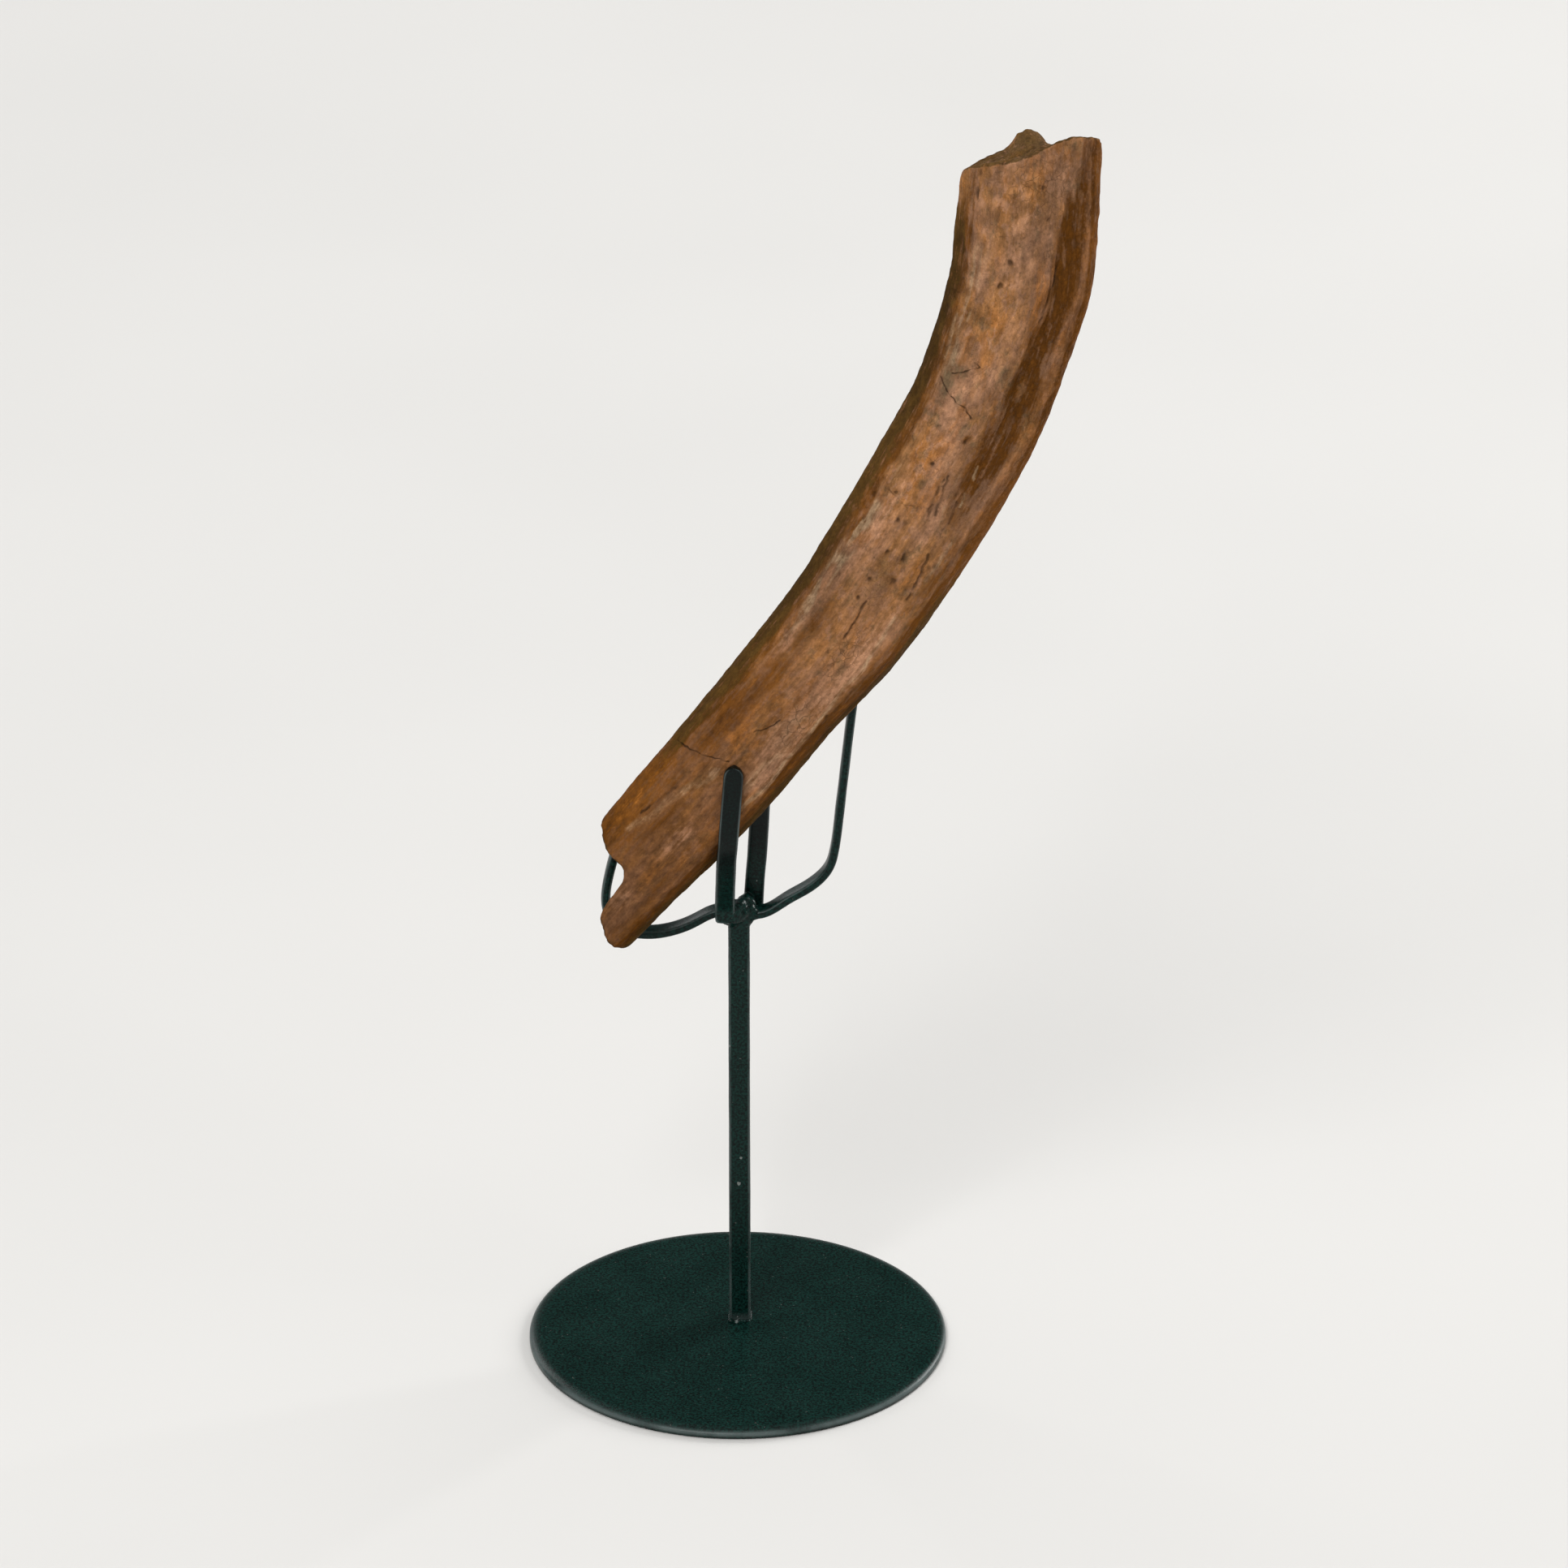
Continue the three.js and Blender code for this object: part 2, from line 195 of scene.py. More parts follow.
# The channel beside the right edge of the upper half, as (along, across, half width).
GROOVE = [
    (127.0, 6.6, 1.4),
    (137.0, 7.0, 2.8),
    (148.0, 7.3, 3.6),
    (160.0, 7.6, 3.8),
    (171.0, 8.2, 3.6),
    (185.0, 8.9, 3.4),
    (197.0, 9.9, 3.2),
    (218.0, 11.8, 2.6),
    (236.0, 12.8, 1.8),
]

# How wide the turned-down edges are, as (along, width) on the left and on the right.
LEFT_EDGE = [(0.0, 2.4), (60.0, 2.9), (110.0, 3.4), (140.0, 4.1), (200.0, 4.4), (237.0, 3.2)]
RIGHT_EDGE = [(0.0, 3.2), (30.0, 3.8), (90.0, 4.1), (118.0, 3.6), (140.0, 2.2), (237.0, 1.3)]

# How far the front face is turned down at each edge, as (along, drop).
LEFT_DROP = [(0.0, 0.9), (60.0, 1.2), (120.0, 1.6), (208.0, 1.6), (226.0, 0.5), (237.0, 0.5)]
RIGHT_DROP = [(10.0, 1.2), (40.0, 2.2), (105.0, 2.2), (135.0, 0.5), (237.0, 0.5)]

# Where along the shaft the worn rim of the upper break and the worn lip of the channel begin.
TOP_RIM_FROM = 219.0
WORN_LIP_FROM = 138.0

# How much further out the bone's right side, left side and top are brought after the smoothing.
RIGHT_SPREAD = 0.5 * MM
LEFT_SPREAD = 0.25 * MM
TOP_SPREAD = 0.6 * MM

# The colour at the bottom of cracks and pits.
HOLLOW_DARK = (0.02, 0.012, 0.006, 1.0)

# Where the stand's paint is chipped, and a painted glint at the post's foot, as (x, y, z, radius).
CHIPS_AND_GLINT = [
    (0.9, 3.0, 47.6, 0.42),
    (0.3, 3.0, 40.6, 0.5),
    (-2.0, 3.1, 78.0, 0.35),
    # A painted glint on the weld at the post's foot, drawn like a chip.
    (-0.2, 2.4, 3.2, 0.75),
    (20.4, 5.6, 121.0, 0.4),
    (5.0, 8.0, 119.5, 0.45),
]

# Where weld metal was laid at the top of the post, as (x, y, z, radius).
WELD_BEADS = [
    (-0.2, 2.3, 112.2, 1.0),
    (-0.1, 2.3, 113.4, 1.1),
    (-0.1, 2.4, 114.6, 1.2),
    (-1.5, 2.6, 111.7, 1.2),
    (-2.8, 2.8, 111.7, 1.1),
    (0.7, 2.8, 112.5, 1.0),
    (1.9, 3.1, 113.8, 1.0),
    (-2.7, 3.4, 114.0, 1.3),
    (-3.2, 3.3, 112.6, 1.3),
    (-2.3, 4.4, 115.0, 1.1),
    (-2.4, 6.6, 114.8, 1.1),
    (-2.3, 5.0, 110.7, 0.8),
    (-2.3, 7.0, 110.9, 0.8),
    (-1.9, 3.0, 110.9, 0.6),
    (3.4, 4.2, 114.2, 1.0),
    (3.4, 5.6, 115.1, 1.1),
    (3.4, 7.0, 114.8, 1.1),
    (3.3, 4.0, 112.6, 0.9),
    (3.3, 4.4, 111.0, 0.7),
    (3.3, 6.6, 110.9, 0.8),
    (1.5, 8.5, 114.4, 1.1),
    (3.0, 8.5, 114.9, 1.2),
    (1.5, 8.5, 112.6, 1.0),
    (2.4, 8.5, 111.2, 0.9),
    (0.7, 4.1, 115.2, 1.5),
    (1.7, 5.8, 115.3, 1.6),
    (0.1, 3.2, 115.5, 1.1),
    (-1.0, 4.6, 115.2, 1.3),
    (2.4, 7.3, 115.7, 1.2),
    (0.9, 2.9, 116.0, 0.8),
    (0.9, 2.8, 113.0, 0.8),
]

# The straps' and the post's ends that run together in the weld, as (node, place of the cut, direction
# cut away).
WELDED_ENDS = [
    ("post", (0.0, 0.0, 107.0), (0.0, 0.0, -1.0)),
    ("prong_front", (0.0, 0.0, 119.5), (0.0, 0.0, 1.0)),
    ("prong_back", (0.0, 0.0, 119.5), (0.0, 0.0, 1.0)),
    ("prong_left", (-9.5, 0.0, 0.0), (-1.0, 0.0, 0.0)),
    ("prong_right", (11.0, 0.0, 0.0), (1.0, 0.0, 0.0)),
]
WELD_MIDDLE = (0.6, 5.0, 113.4)

# The height from which painted shade darkens a strap's paint nearly to black, how far up that takes, how
# dark it gets, and the colour of that painted shade.
SHADED_FROM = {"strap_front": 124.0, "strap_back": 122.0}
SHADE_REACH = 14.0
DEEPEST_SHADE = 0.75
PAINTED_SHADE_COLOUR = (0.0012, 0.0016, 0.0017, 1.0)
PAINT_DUST = (0.13, 0.13, 0.12, 1.0)

# The soft lights round the object, as (name, place, size in metres), and the point they are turned to.
LIGHTS = [
    ("key", (-1.09, -2.55, 2.83), 1.8),
    ("fill", (3.86, -2.1, 2.08), 2.7),
    ("rim", (2.96, 2.1, 1.48), 1.8),
    ("back", (-2.74, 3.3, 2.38), 2.4),
]
LIGHTS_AIM = (0.02, 0.0, 0.16)
CEILING_SOFTNESS = math.radians(75)
FLOOR_DROP = 0.05 * MM


# ---- Settings ---------------------------------------------------------------------------------------


class RibSettings(bpy.types.PropertyGroup):
    """What a user would change on the bone"""

    fineness: bpy.props.FloatProperty(
        name="Fineness", description="Distance between the bone's mesh points",
        default=0.56 * MM, min=0.3 * MM, unit="LENGTH")
    undulation: bpy.props.FloatProperty(
        name="Undulation", description="Height of the broad waves of the shaft",
        default=0.3 * MM, unit="LENGTH")
    fluting: bpy.props.FloatProperty(
        name="Fluting", description="Height of the long fine ridges along the grain",
        default=0.16 * MM, unit="LENGTH")
    graininess: bpy.props.FloatProperty(
        name="Graininess", description="Height of the small lumps all over",
        default=0.085 * MM, unit="LENGTH")
    groove_depth: bpy.props.FloatProperty(
        name="Groove depth", description="Depth of the channel beside the right edge",
        default=0.45 * MM, unit="LENGTH")
    pit_depth: bpy.props.FloatProperty(
        name="Pit depth", description="Depth of the pits in the surface",
        default=0.55 * MM, unit="LENGTH")
    crack_depth: bpy.props.FloatProperty(
        name="Crack depth", description="Depth of the hairline cracks",
        default=0.32 * MM, unit="LENGTH")
    tan: bpy.props.FloatVectorProperty(
        name="Tan", description="Main colour of the bone", subtype="COLOR",
        default=(0.325, 0.150, 0.056))
    pink: bpy.props.FloatVectorProperty(
        name="Pink", description="Pale pink-grey bone", subtype="COLOR",
        default=(0.36, 0.186, 0.104))
    orange: bpy.props.FloatVectorProperty(
        name="Orange", description="Iron-stained bone", subtype="COLOR",
        default=(0.33, 0.122, 0.026))
    grey: bpy.props.FloatVectorProperty(
        name="Grey", description="Grey-olive stain round the cracks", subtype="COLOR",
        default=(0.14, 0.098, 0.052))
    rust: bpy.props.FloatVectorProperty(
        name="Rust", description="Brown of the lower end and of the upper right edge", subtype="COLOR",
        default=(0.138, 0.051, 0.0125))
    umber: bpy.props.FloatVectorProperty(
        name="Umber", description="Dark brown in the channel and on the turned-down edges",
        subtype="COLOR", default=(0.125, 0.043, 0.005))
    olive: bpy.props.FloatVectorProperty(
        name="Olive", description="Dull rind at the outer edges and on the broken ends",
        subtype="COLOR", default=(0.062, 0.036, 0.009))
    chalk: bpy.props.FloatVectorProperty(
        name="Chalk", description="Pale flaked patches and pale streaks", subtype="COLOR",
        default=(0.46, 0.31, 0.18))


class StandSettings(bpy.types.PropertyGroup):
    """What a user would change on the stand"""

    paint: bpy.props.FloatVectorProperty(
        name="Paint", description="Colour of the paint", subtype="COLOR",
        default=(0.0012, 0.0092, 0.0072))
    roughness: bpy.props.FloatProperty(
        name="Roughness", description="How matt the paint is", subtype="FACTOR",
        default=0.33, min=0.0, max=1.0)
    hammering: bpy.props.FloatProperty(
        name="Hammering", description="Unevenness of the hand-bent straps and post",
        default=0.07 * MM, unit="LENGTH")
    # Painted highlight: the colour of the lighter line along the stand's edges.
    highlighted: bpy.props.FloatVectorProperty(
        name="Highlighted edges", description="Paint rubbed thin along the edges", subtype="COLOR",
        default=(0.10, 0.125, 0.122))
    # The colour of chipped spots, and of the painted glint at the post's foot.
    chip_and_glint: bpy.props.FloatVectorProperty(
        name="Chip", description="Bare spots where the paint is chipped", subtype="COLOR",
        default=(0.17, 0.19, 0.18))


class StageSettings(bpy.types.PropertyGroup):
    """The floor, the lights and the camera"""

    floor_size: bpy.props.FloatProperty(
        name="Floor size", description="Side of the floor", default=24.0, unit="LENGTH")
    floor_colour: bpy.props.FloatVectorProperty(
        name="Floor colour", description="Colour of the pale floor", subtype="COLOR",
        default=(0.66, 0.65, 0.63))
    key_power: bpy.props.FloatProperty(
        name="Key power", description="Power of the large soft light", default=108.0, unit="POWER")
    fill_power: bpy.props.FloatProperty(
        name="Fill power", description="Power of the soft light on the other side", default=32.0,
        unit="POWER")
    rim_power: bpy.props.FloatProperty(
        name="Rim power", description="Power of the soft light behind the right edge", default=126.0,
        unit="POWER")
    back_power: bpy.props.FloatProperty(
        name="Back power", description="Power of the soft light behind the left edge", default=63.0,
        unit="POWER")
    ceiling_strength: bpy.props.FloatProperty(
        name="Ceiling strength", description="Strength of the even, very soft light straight down",
        default=1.0)
    horizon: bpy.props.FloatProperty(
        name="Horizon", description="Brightness of the surroundings at eye level", default=0.4)
    overhead: bpy.props.FloatProperty(
        name="Overhead", description="Brightness of the surroundings above", default=0.06)
    camera_distance: bpy.props.FloatProperty(
        name="Camera distance", description="From the camera to the point that it looks at",
        default=2.0, unit="LENGTH")
    camera_pitch: bpy.props.FloatProperty(
        name="Camera pitch", description="How far the camera looks down", default=math.radians(25.358),
        subtype="ANGLE")
    camera_target: bpy.props.FloatVectorProperty(
        name="Camera target", description="The point in the middle of the picture",
        default=(11.306 * MM, 0.0, 149.234 * MM), unit="LENGTH")
    camera_lens: bpy.props.FloatProperty(
        name="Camera lens", description="Focal length, in millimetres, on a 36 mm wide sensor",
        default=194.02)


# ---- Mesh helpers -----------------------------------------------------------------------------------


def select_only(piece):
    """Deselects everything and makes one object the active one."""
    bpy.ops.object.select_all(action="DESELECT")
    piece.select_set(True)
    bpy.context.view_layer.objects.active = piece


def edit_all(piece):
    """Goes into edit mode with the whole piece selected."""
    select_only(piece)
    bpy.ops.object.mode_set(mode="EDIT")
    bpy.ops.mesh.select_all(action="SELECT")


def merged_copy(node, name):
    """A free copy of a CAD node's solid, its loose triangles merged into one closed skin."""
    piece = bpy.data.objects.new(name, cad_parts[node].data.copy())
    bpy.context.scene.collection.objects.link(piece)
    piece.data.materials.clear()
    edit_all(piece)
    bpy.ops.mesh.remove_doubles(threshold=0.002 * MM)
    bpy.ops.object.mode_set(mode="OBJECT")
    if piece.data.has_custom_normals:
        bpy.ops.mesh.customdata_custom_splitnormals_clear()
    return piece


def apply_modifier(piece, kind, **settings):
    """Adds a modifier, sets it and applies it."""
    modifier = piece.modifiers.new(kind.title(), kind)
    for name, value in settings.items():
        setattr(modifier, name, value)
    select_only(piece)
    bpy.ops.object.modifier_apply(modifier=modifier.name)


def select_faces(piece, chosen):
    """Goes into edit mode with only the chosen faces selected, a flag for each face."""
    mesh = piece.data
    for group in (mesh.vertices, mesh.edges):
        group.foreach_set("select", [False] * len(group))
    mesh.polygons.foreach_set("select", chosen)
    select_only(piece)
    bpy.ops.object.mode_set(mode="EDIT")
    bpy.ops.mesh.select_mode(type="FACE")


def mesh_rows(piece, field):
    """A field of the piece's points, such as their places or normals, as rows."""
    rows = np.empty(3 * len(piece.data.vertices))
    piece.data.vertices.foreach_get(field, rows)
    return rows.reshape(-1, 3)


def mesh_points(piece):
    """The piece's points as rows, in metres."""
    return mesh_rows(piece, "co")


def move_points(piece, points):
    """Moves the piece's points to the places in the rows, in metres."""
    piece.data.vertices.foreach_set("co", points.ravel())
    piece.data.update()


def push_along_normals(piece, heights):
    """Moves each point of the piece along its normal, by metres."""
    move_points(piece, mesh_points(piece) + mesh_rows(piece, "normal") * heights[:, None])


def store(piece, name, values):
    """Keeps one number, or one vector, for each point of the piece under a name that a material reads."""
    kind, field = ("FLOAT_VECTOR", "vector") if values.ndim == 2 else ("FLOAT", "value")
    attribute = piece.data.attributes.new(name, kind, "POINT")
    attribute.data.foreach_set(field, values.astype(np.float32).ravel())


def finish_piece(piece, material, slot, *nodes):
    """Paints the piece, fixes it to the stand and hides the CAD nodes that it stands for."""
    piece.data.materials.clear()
    piece.data.materials.append(material)
    select_only(piece)
    bpy.ops.object.shade_smooth()
    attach(piece, "root")
    if nodes:
        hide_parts(*nodes)


def smooth_share(value, low, high):
    """0 below low and 1 above high, with a smooth climb between."""
    share = np.clip((value - low) / (high - low), 0.0, 1.0)
    return share * share * (3.0 - 2.0 * share)


def bell(distance, width):
    """1 at no distance, and falling away over about the width."""
    return np.exp(-0.5 * (distance / width) ** 2)


def read_along(table, along):
    """The values of a table of (along, value) rows at the given places along the shaft."""
    return np.interp(along, *np.array(table).T)


def grain_noise(places, along, across, seed):
    """Smooth noise from -1 to 1 over places on the bone, in cells of along by across millimetres."""
    cells = places / (along, across, across) + seed
    return np.array([noise.noise(cell) for cell in cells.tolist()])


# ---- The bone ---------------------------------------------------------------------------------------


def shaft_line():
    """Fine samples of the bone's middle line: points, directions, lengths from the end, half widths."""
    stations = np.array(SHAFT_STATIONS)
    padded = np.vstack([2 * stations[0] - stations[1], stations, 2 * stations[-1] - stations[-2]])
    samples = []
    for a, b, c, d in zip(padded, padded[1:], padded[2:], padded[3:]):
        for t in np.linspace(0.0, 1.0, 72, endpoint=False):
            bend = (2 * a - 5 * b + 4 * c - d) * t * t + (3 * b - a - 3 * c + d) * t ** 3
            samples.append(0.5 * (2 * b + (c - a) * t + bend))
    samples = np.array(samples)
    points = samples[:, :3]
    flat = points[:, [0, 2]]
    steps = np.linalg.norm(np.diff(flat, axis=0), axis=1)
    lengths = np.concatenate([[0.0], np.cumsum(steps)])
    directions = np.gradient(flat, axis=0)
    directions /= np.linalg.norm(directions, axis=1)[:, None]
    return points, directions, lengths, samples[:, 3] / 2


def places_on_bone(points):
    """Each point's (along, across, depth) in millimetres, the half width there, and the way along."""
    line, directions, lengths, half_widths = shaft_line()
    tree = kdtree.KDTree(len(line))
    for index, (x, _, z) in enumerate(line):
        tree.insert((x, 0.0, z), index)
    tree.balance()
    points = points / MM
    nearest = np.array([tree.find((x, 0.0, z))[1] for x, _, z in points.tolist()])
    offset = (points - line[nearest])[:, [0, 2]]
    way = directions[nearest]
    along = lengths[nearest] + (offset * way).sum(1)
    across = offset[:, 0] * way[:, 1] - offset[:, 1] * way[:, 0]
    depth = points[:, 1] - line[nearest, 1]
    return np.column_stack([along, across, depth]), half_widths[nearest], way


def wobbled(places, size, along, across, seed):
    """The places, each moved a little, so that what is drawn on them gets a ragged outline."""
    moved = places.copy()
    moved[:, 0] += size * grain_noise(places, along, across, seed)
    moved[:, 1] += size * grain_noise(places, along, across, seed + 50)
    return moved


def near_line(places, line, width):
    """How close each place is to a jagged line on the front face: 1 on it, 0 away from it."""
    flat = places[:, :2]
    closest = np.full(len(flat), 1e9)
    for start, end in zip(np.array(line), np.array(line)[1:]):
        span = end - start
        share = np.clip(((flat - start) @ span) / (span @ span), 0.0, 1.0)
        distance = np.linalg.norm(flat - start - share[:, None] * span, axis=1)
        closest = np.minimum(closest, distance)
    return bell(closest, width)


def near_any(places, lines, width):
    """How close each place is to the nearest of several lines."""
    return np.max([near_line(places, line, width) for line in lines], axis=0)


def channel_offset(places):
    """How far each place lies to the side of the channel's middle, in half widths of the channel."""
    along, across, width = np.array(GROOVE).T
    return (places[:, 1] - np.interp(places[:, 0], along, across)) / np.interp(places[:, 0], along, width)


def in_groove(places):
    """1 along the bed of the channel and 0 outside it."""
    low, high = GROOVE[0][0], GROOVE[-1][0]
    ends = smooth_share(places[:, 0], low - 4, low + 30)
    ends *= 1 - 0.7 * smooth_share(places[:, 0], high - 22, high - 4)
    offset = channel_offset(places)
    return smooth_share(offset, -1.6, -0.4) * (1 - smooth_share(offset, 0.1, 1.4)) * ends


def stained(places, patches):
    """How strongly a list of soft patches covers each place."""
    cover = [
        strength * bell(np.hypot((places[:, 0] - a) / length, (places[:, 1] - b) / width), 0.7)
        for a, b, length, width, strength in patches
    ]
    return np.max(cover, axis=0)


def scattered_pits(places, cell, share, reach, seed):
    """Pits scattered over the bone: a share of the cells holds one, from 1 at its middle to 0 at reach."""
    pits = []
    for point in (places / (1.25 * cell, cell, cell) + seed).tolist():
        distances, centres = noise.voronoi(point)
        chosen = noise.cell(centres[0] * 7.3) < 2 * share - 1
        pits.append(max(0.0, 1 - distances[0] / reach) if chosen else 0.0)
    return smooth_share(np.array(pits), 0.0, 0.7)


def edge_distances(places, half):
    """Millimetres in from the left and the right edge, and both as shares of the turned-down widths."""
    along, across, _ = places.T
    wander = 0.5 * grain_noise(places, 17.0, 9.0, 3.1)
    from_left = across + half + wander
    from_right = half - across + wander
    left_share = from_left / read_along(LEFT_EDGE, along)
    right_share = from_right / read_along(RIGHT_EDGE, along)
    return from_left, from_right, left_share, right_share


def wear_at(bone, worn, rounds):
    """Wears the bone rounder at the chosen points."""
    group = bone.vertex_groups.new(name="worn")
    group.add(np.flatnonzero(worn).tolist(), 1.0, "REPLACE")
    apply_modifier(bone, "SMOOTH", factor=0.5, iterations=rounds, vertex_group="worn")
    bone.vertex_groups.clear()


def wear_bone(bone):
    """Wears the rim of the upper break and the inner lip of the channel rounder than the rest."""
    places = places_on_bone(mesh_points(bone))[0]
    along, _, depth = places.T
    wear_at(bone, along > TOP_RIM_FROM, rounds=14)
    on_lip = np.abs(channel_offset(places) + 0.9) < 1.1
    wear_at(bone, on_lip & (along > WORN_LIP_FROM) & (depth < 0), rounds=30)


def spread_to_outline(bone):
    """Brings the sides and the top back out to the solid's outline, which the smoothing drew in."""
    points = mesh_points(bone)
    places, half, way = places_on_bone(points)
    along, across, _ = places.T
    reach = np.where(across > 0, RIGHT_SPREAD, -LEFT_SPREAD)
    sideways = reach * smooth_share(np.abs(across) / half, 0.55, 1.0)
    upward = TOP_SPREAD * smooth_share(along, 222, 232)
    points[:, 0] += sideways * way[:, 1] + upward * way[:, 0]
    points[:, 2] += upward * way[:, 1] - sideways * way[:, 0]
    move_points(bone, points)


def turn_edges_down(bone):
    """Turns the front face down along both edges, into a narrow bevel with a soft crest."""
    points = mesh_points(bone)
    places, half, _ = places_on_bone(points)
    along, _, depth = places.T
    _, _, left_share, right_share = edge_distances(places, half)
    drop = read_along(LEFT_DROP, along) * softened_ramp(1 - left_share)
    drop = drop + read_along(RIGHT_DROP, along) * softened_ramp(1 - right_share)
    full_depth = 6.5
    points[:, 1] += drop * MM * np.clip(-depth / full_depth, 0.0, 1.0)
    move_points(bone, points)


def softened_ramp(value):
    """The value where it is above 0, and 0 below, with a soft turn between."""
    turn = 0.16
    return 0.5 * (value + np.sqrt(value * value + turn * turn)) - 0.5 * turn


def bone_marks(places, half, way, normals):
    """The named marks of the bone, each from 0 to 1 at every point."""
    along, _, depth = places.T
    front = smooth_share(-depth, 0.5, 3.5)
    from_left, from_right, left_share, right_share = edge_distances(places, half)
    ragged = 0.35 * grain_noise(places, 4.5, 1.6, 8.4)
    end_on = np.abs(normals[:, 0] * way[:, 0] + normals[:, 2] * way[:, 1])
    at_an_end = np.maximum(smooth_share(along, 218, 224), 1 - smooth_share(along, 26, 34))
    broken = smooth_share(end_on, 0.45, 0.75) * at_an_end
    whole = 1 - broken
    shaky = wobbled(places, 0.4, 1.5, 1.5, 14.0)
    loose = wobbled(places, 1.3, 6.0, 3.0, 17.0)
    fibrous = wobbled(wobbled(places, 1.3, 11.0, 1.6, 23.0), 0.9, 4.0, 0.7, 29.0)
    fibres = 1 - 0.55 * smooth_share(grain_noise(places, 8.0, 0.75, 31.0), 0.12, 0.5)
    broken_up = 0.35 + 0.65 * smooth_share(grain_noise(places, 2.2, 2.2, 19.0), -0.35, 0.15)
    flaked = smooth_share(grain_noise(places, 8.0, 1.8, 21.7), -0.25, 0.15)
    chalky_run = 0.12 + bell(along - 118, 14) + 0.7 * bell(along - 182, 8) + 0.4 * bell(along - 200, 4)
    chalk = bell(left_share - 1.2, 0.26) * flaked * chalky_run
    low_enough = 1 - 0.85 * smooth_share(along, 206, 218)
    dull = low_enough * smooth_share(along, 38, 58)
    upper = smooth_share(along, 112, 135)
    rind_left = 1 - smooth_share(from_left + 2 * ragged, 0.6, 3.2)
    rind_right = 1 - smooth_share(from_right + ragged, 0.4, 3.4)
    streaks = [
        k * near_line(shaky if width < 0.5 else loose, line, width) for line, width, k in PALE_STREAKS
    ]
    pits = [
        bell(np.hypot((shaky[:, 0] - a) / stretch, shaky[:, 1] - b), 0.6 * radius)
        for a, b, radius, stretch in PITS
    ]
    marks = {
        "broken": broken,
        "left_edge": (1 - smooth_share(left_share + ragged, 0.5, 1.25)) * low_enough * whole,
        "right_edge": (1 - smooth_share(right_share + 0.7 * ragged, 0.95, 1.3)) * whole,
        "ridge": (1 - smooth_share(from_right + 2 * ragged, 3.0, 5.4)) * upper * whole * (0.4 + 0.6 * front),
        "rind": np.maximum(rind_left * dull, rind_right * (1 - upper)) * whole,
        "chalk": np.clip(chalk, 0, 1) * front * whole,
        "pale": np.max(streaks, axis=0) * front * whole,
        "groove": in_groove(fibrous) * fibres * front * whole,
        "crack": near_any(shaky, CRACKS, 0.12) * broken_up * front * whole,
        "furrow": near_any(shaky, FURROWS, 0.22) * broken_up * front * whole,
        "pit": np.max(pits, axis=0) * front * whole,
        "pore": scattered_pits(shaky, 3.4, 0.24, 0.22, 5.0) * whole,
    }
    for name, patches in STAINS.items():
        marks[name] = stained(loose, patches) * front * whole
    return marks


def bone_relief(places, marks, settings):
    """How far each point rises or sinks, in metres."""
    broad = grain_noise(places, 40.0, 9.0, 12.0)
    flutes = grain_noise(places, 16.0, 1.9, 33.0) + 0.7 * grain_noise(places, 6.0, 1.0, 41.0)
    lumps = grain_noise(places, 4.2, 2.4, 52.0)
    rough = grain_noise(places, 1.9, 1.4, 57.0) + 0.7 * grain_noise(places, 1.05, 0.9, 66.0)
    broken = marks["broken"]
    whole = 1 - broken
    upper = smooth_share(places[:, 0], 140, 195)
    grained = settings.fluting * (0.75 - 0.5 * upper + 1.2 * marks["groove"] + 0.4 * marks["brown"])
    relief = settings.undulation * (broad - 0.35)
    relief += whole * grained * (flutes - 0.25)
    relief += whole * settings.graininess * (rough + (1 + 2.8 * upper) * (lumps - 0.25))
    relief -= 0.22 * MM * marks["chalk"]
    relief -= settings.groove_depth * marks["groove"]
    relief -= settings.crack_depth * np.maximum(marks["crack"], marks["furrow"])
    relief -= settings.pit_depth * np.maximum(marks["pit"], 0.6 * marks["pore"])
    spongy = scattered_pits(places, 2.0, 0.75, 0.42, 9.0)
    relief += broken * MM * (0.28 * rough - 0.25 * spongy)
    return np.minimum(relief, 0.2 * MM)


def split_faces_near_cracks(bone):
    """Gives the mesh around the cracks and pits finer faces, so that they have crisp walls."""
    carved = CRACKS + FURROWS + [[(a - 0.3, b), (a + 0.3, b)] for a, b, _, _ in PITS]
    for reach in (0.7, 0.4):
        places = places_on_bone(mesh_points(bone))[0]
        on_front = places[:, 2] < -1.0
        wanted = on_front & (near_any(places, carved, reach) > 0.35)
        mesh = bone.data
        corners = np.empty(len(mesh.loops), dtype=int)
        mesh.loops.foreach_get("vertex_index", corners)
        starts = np.empty(len(mesh.polygons), dtype=int)
        mesh.polygons.foreach_get("loop_start", starts)
        chosen = np.logical_or.reduceat(wanted[corners], starts)
        select_faces(bone, chosen)
        bpy.ops.mesh.subdivide(number_cuts=1)
        bpy.ops.object.mode_set(mode="OBJECT")


def build_bone(settings):
    """The bone: a fine skin over the solid, worn round at its edges, then carved along its grain."""
    bone = merged_copy("rib", "fossil_rib")
    apply_modifier(bone, "REMESH", mode="VOXEL", voxel_size=settings.fineness)
    apply_modifier(bone, "SMOOTH", factor=0.5, iterations=20)
    wear_bone(bone)
    spread_to_outline(bone)
    turn_edges_down(bone)
    split_faces_near_cracks(bone)
    places, half, way = places_on_bone(mesh_points(bone))
    marks = bone_marks(places, half, way, mesh_rows(bone, "normal"))
    relief = bone_relief(places, marks, settings)
    push_along_normals(bone, relief)
    store(bone, "shaft", places)
    # The relief, which the material also turns into painted shade and light.
    store(bone, "height", relief / MM)
    for name, values in marks.items():
        store(bone, name, values)
    return bone


# ---- Material helpers -------------------------------------------------------------------------------


def new_material(name):
    """A material with an empty node tree, and the tree."""
    material = bpy.data.materials.new(name)
    material.use_nodes = True
    material.node_tree.nodes.clear()
    return material, material.node_tree


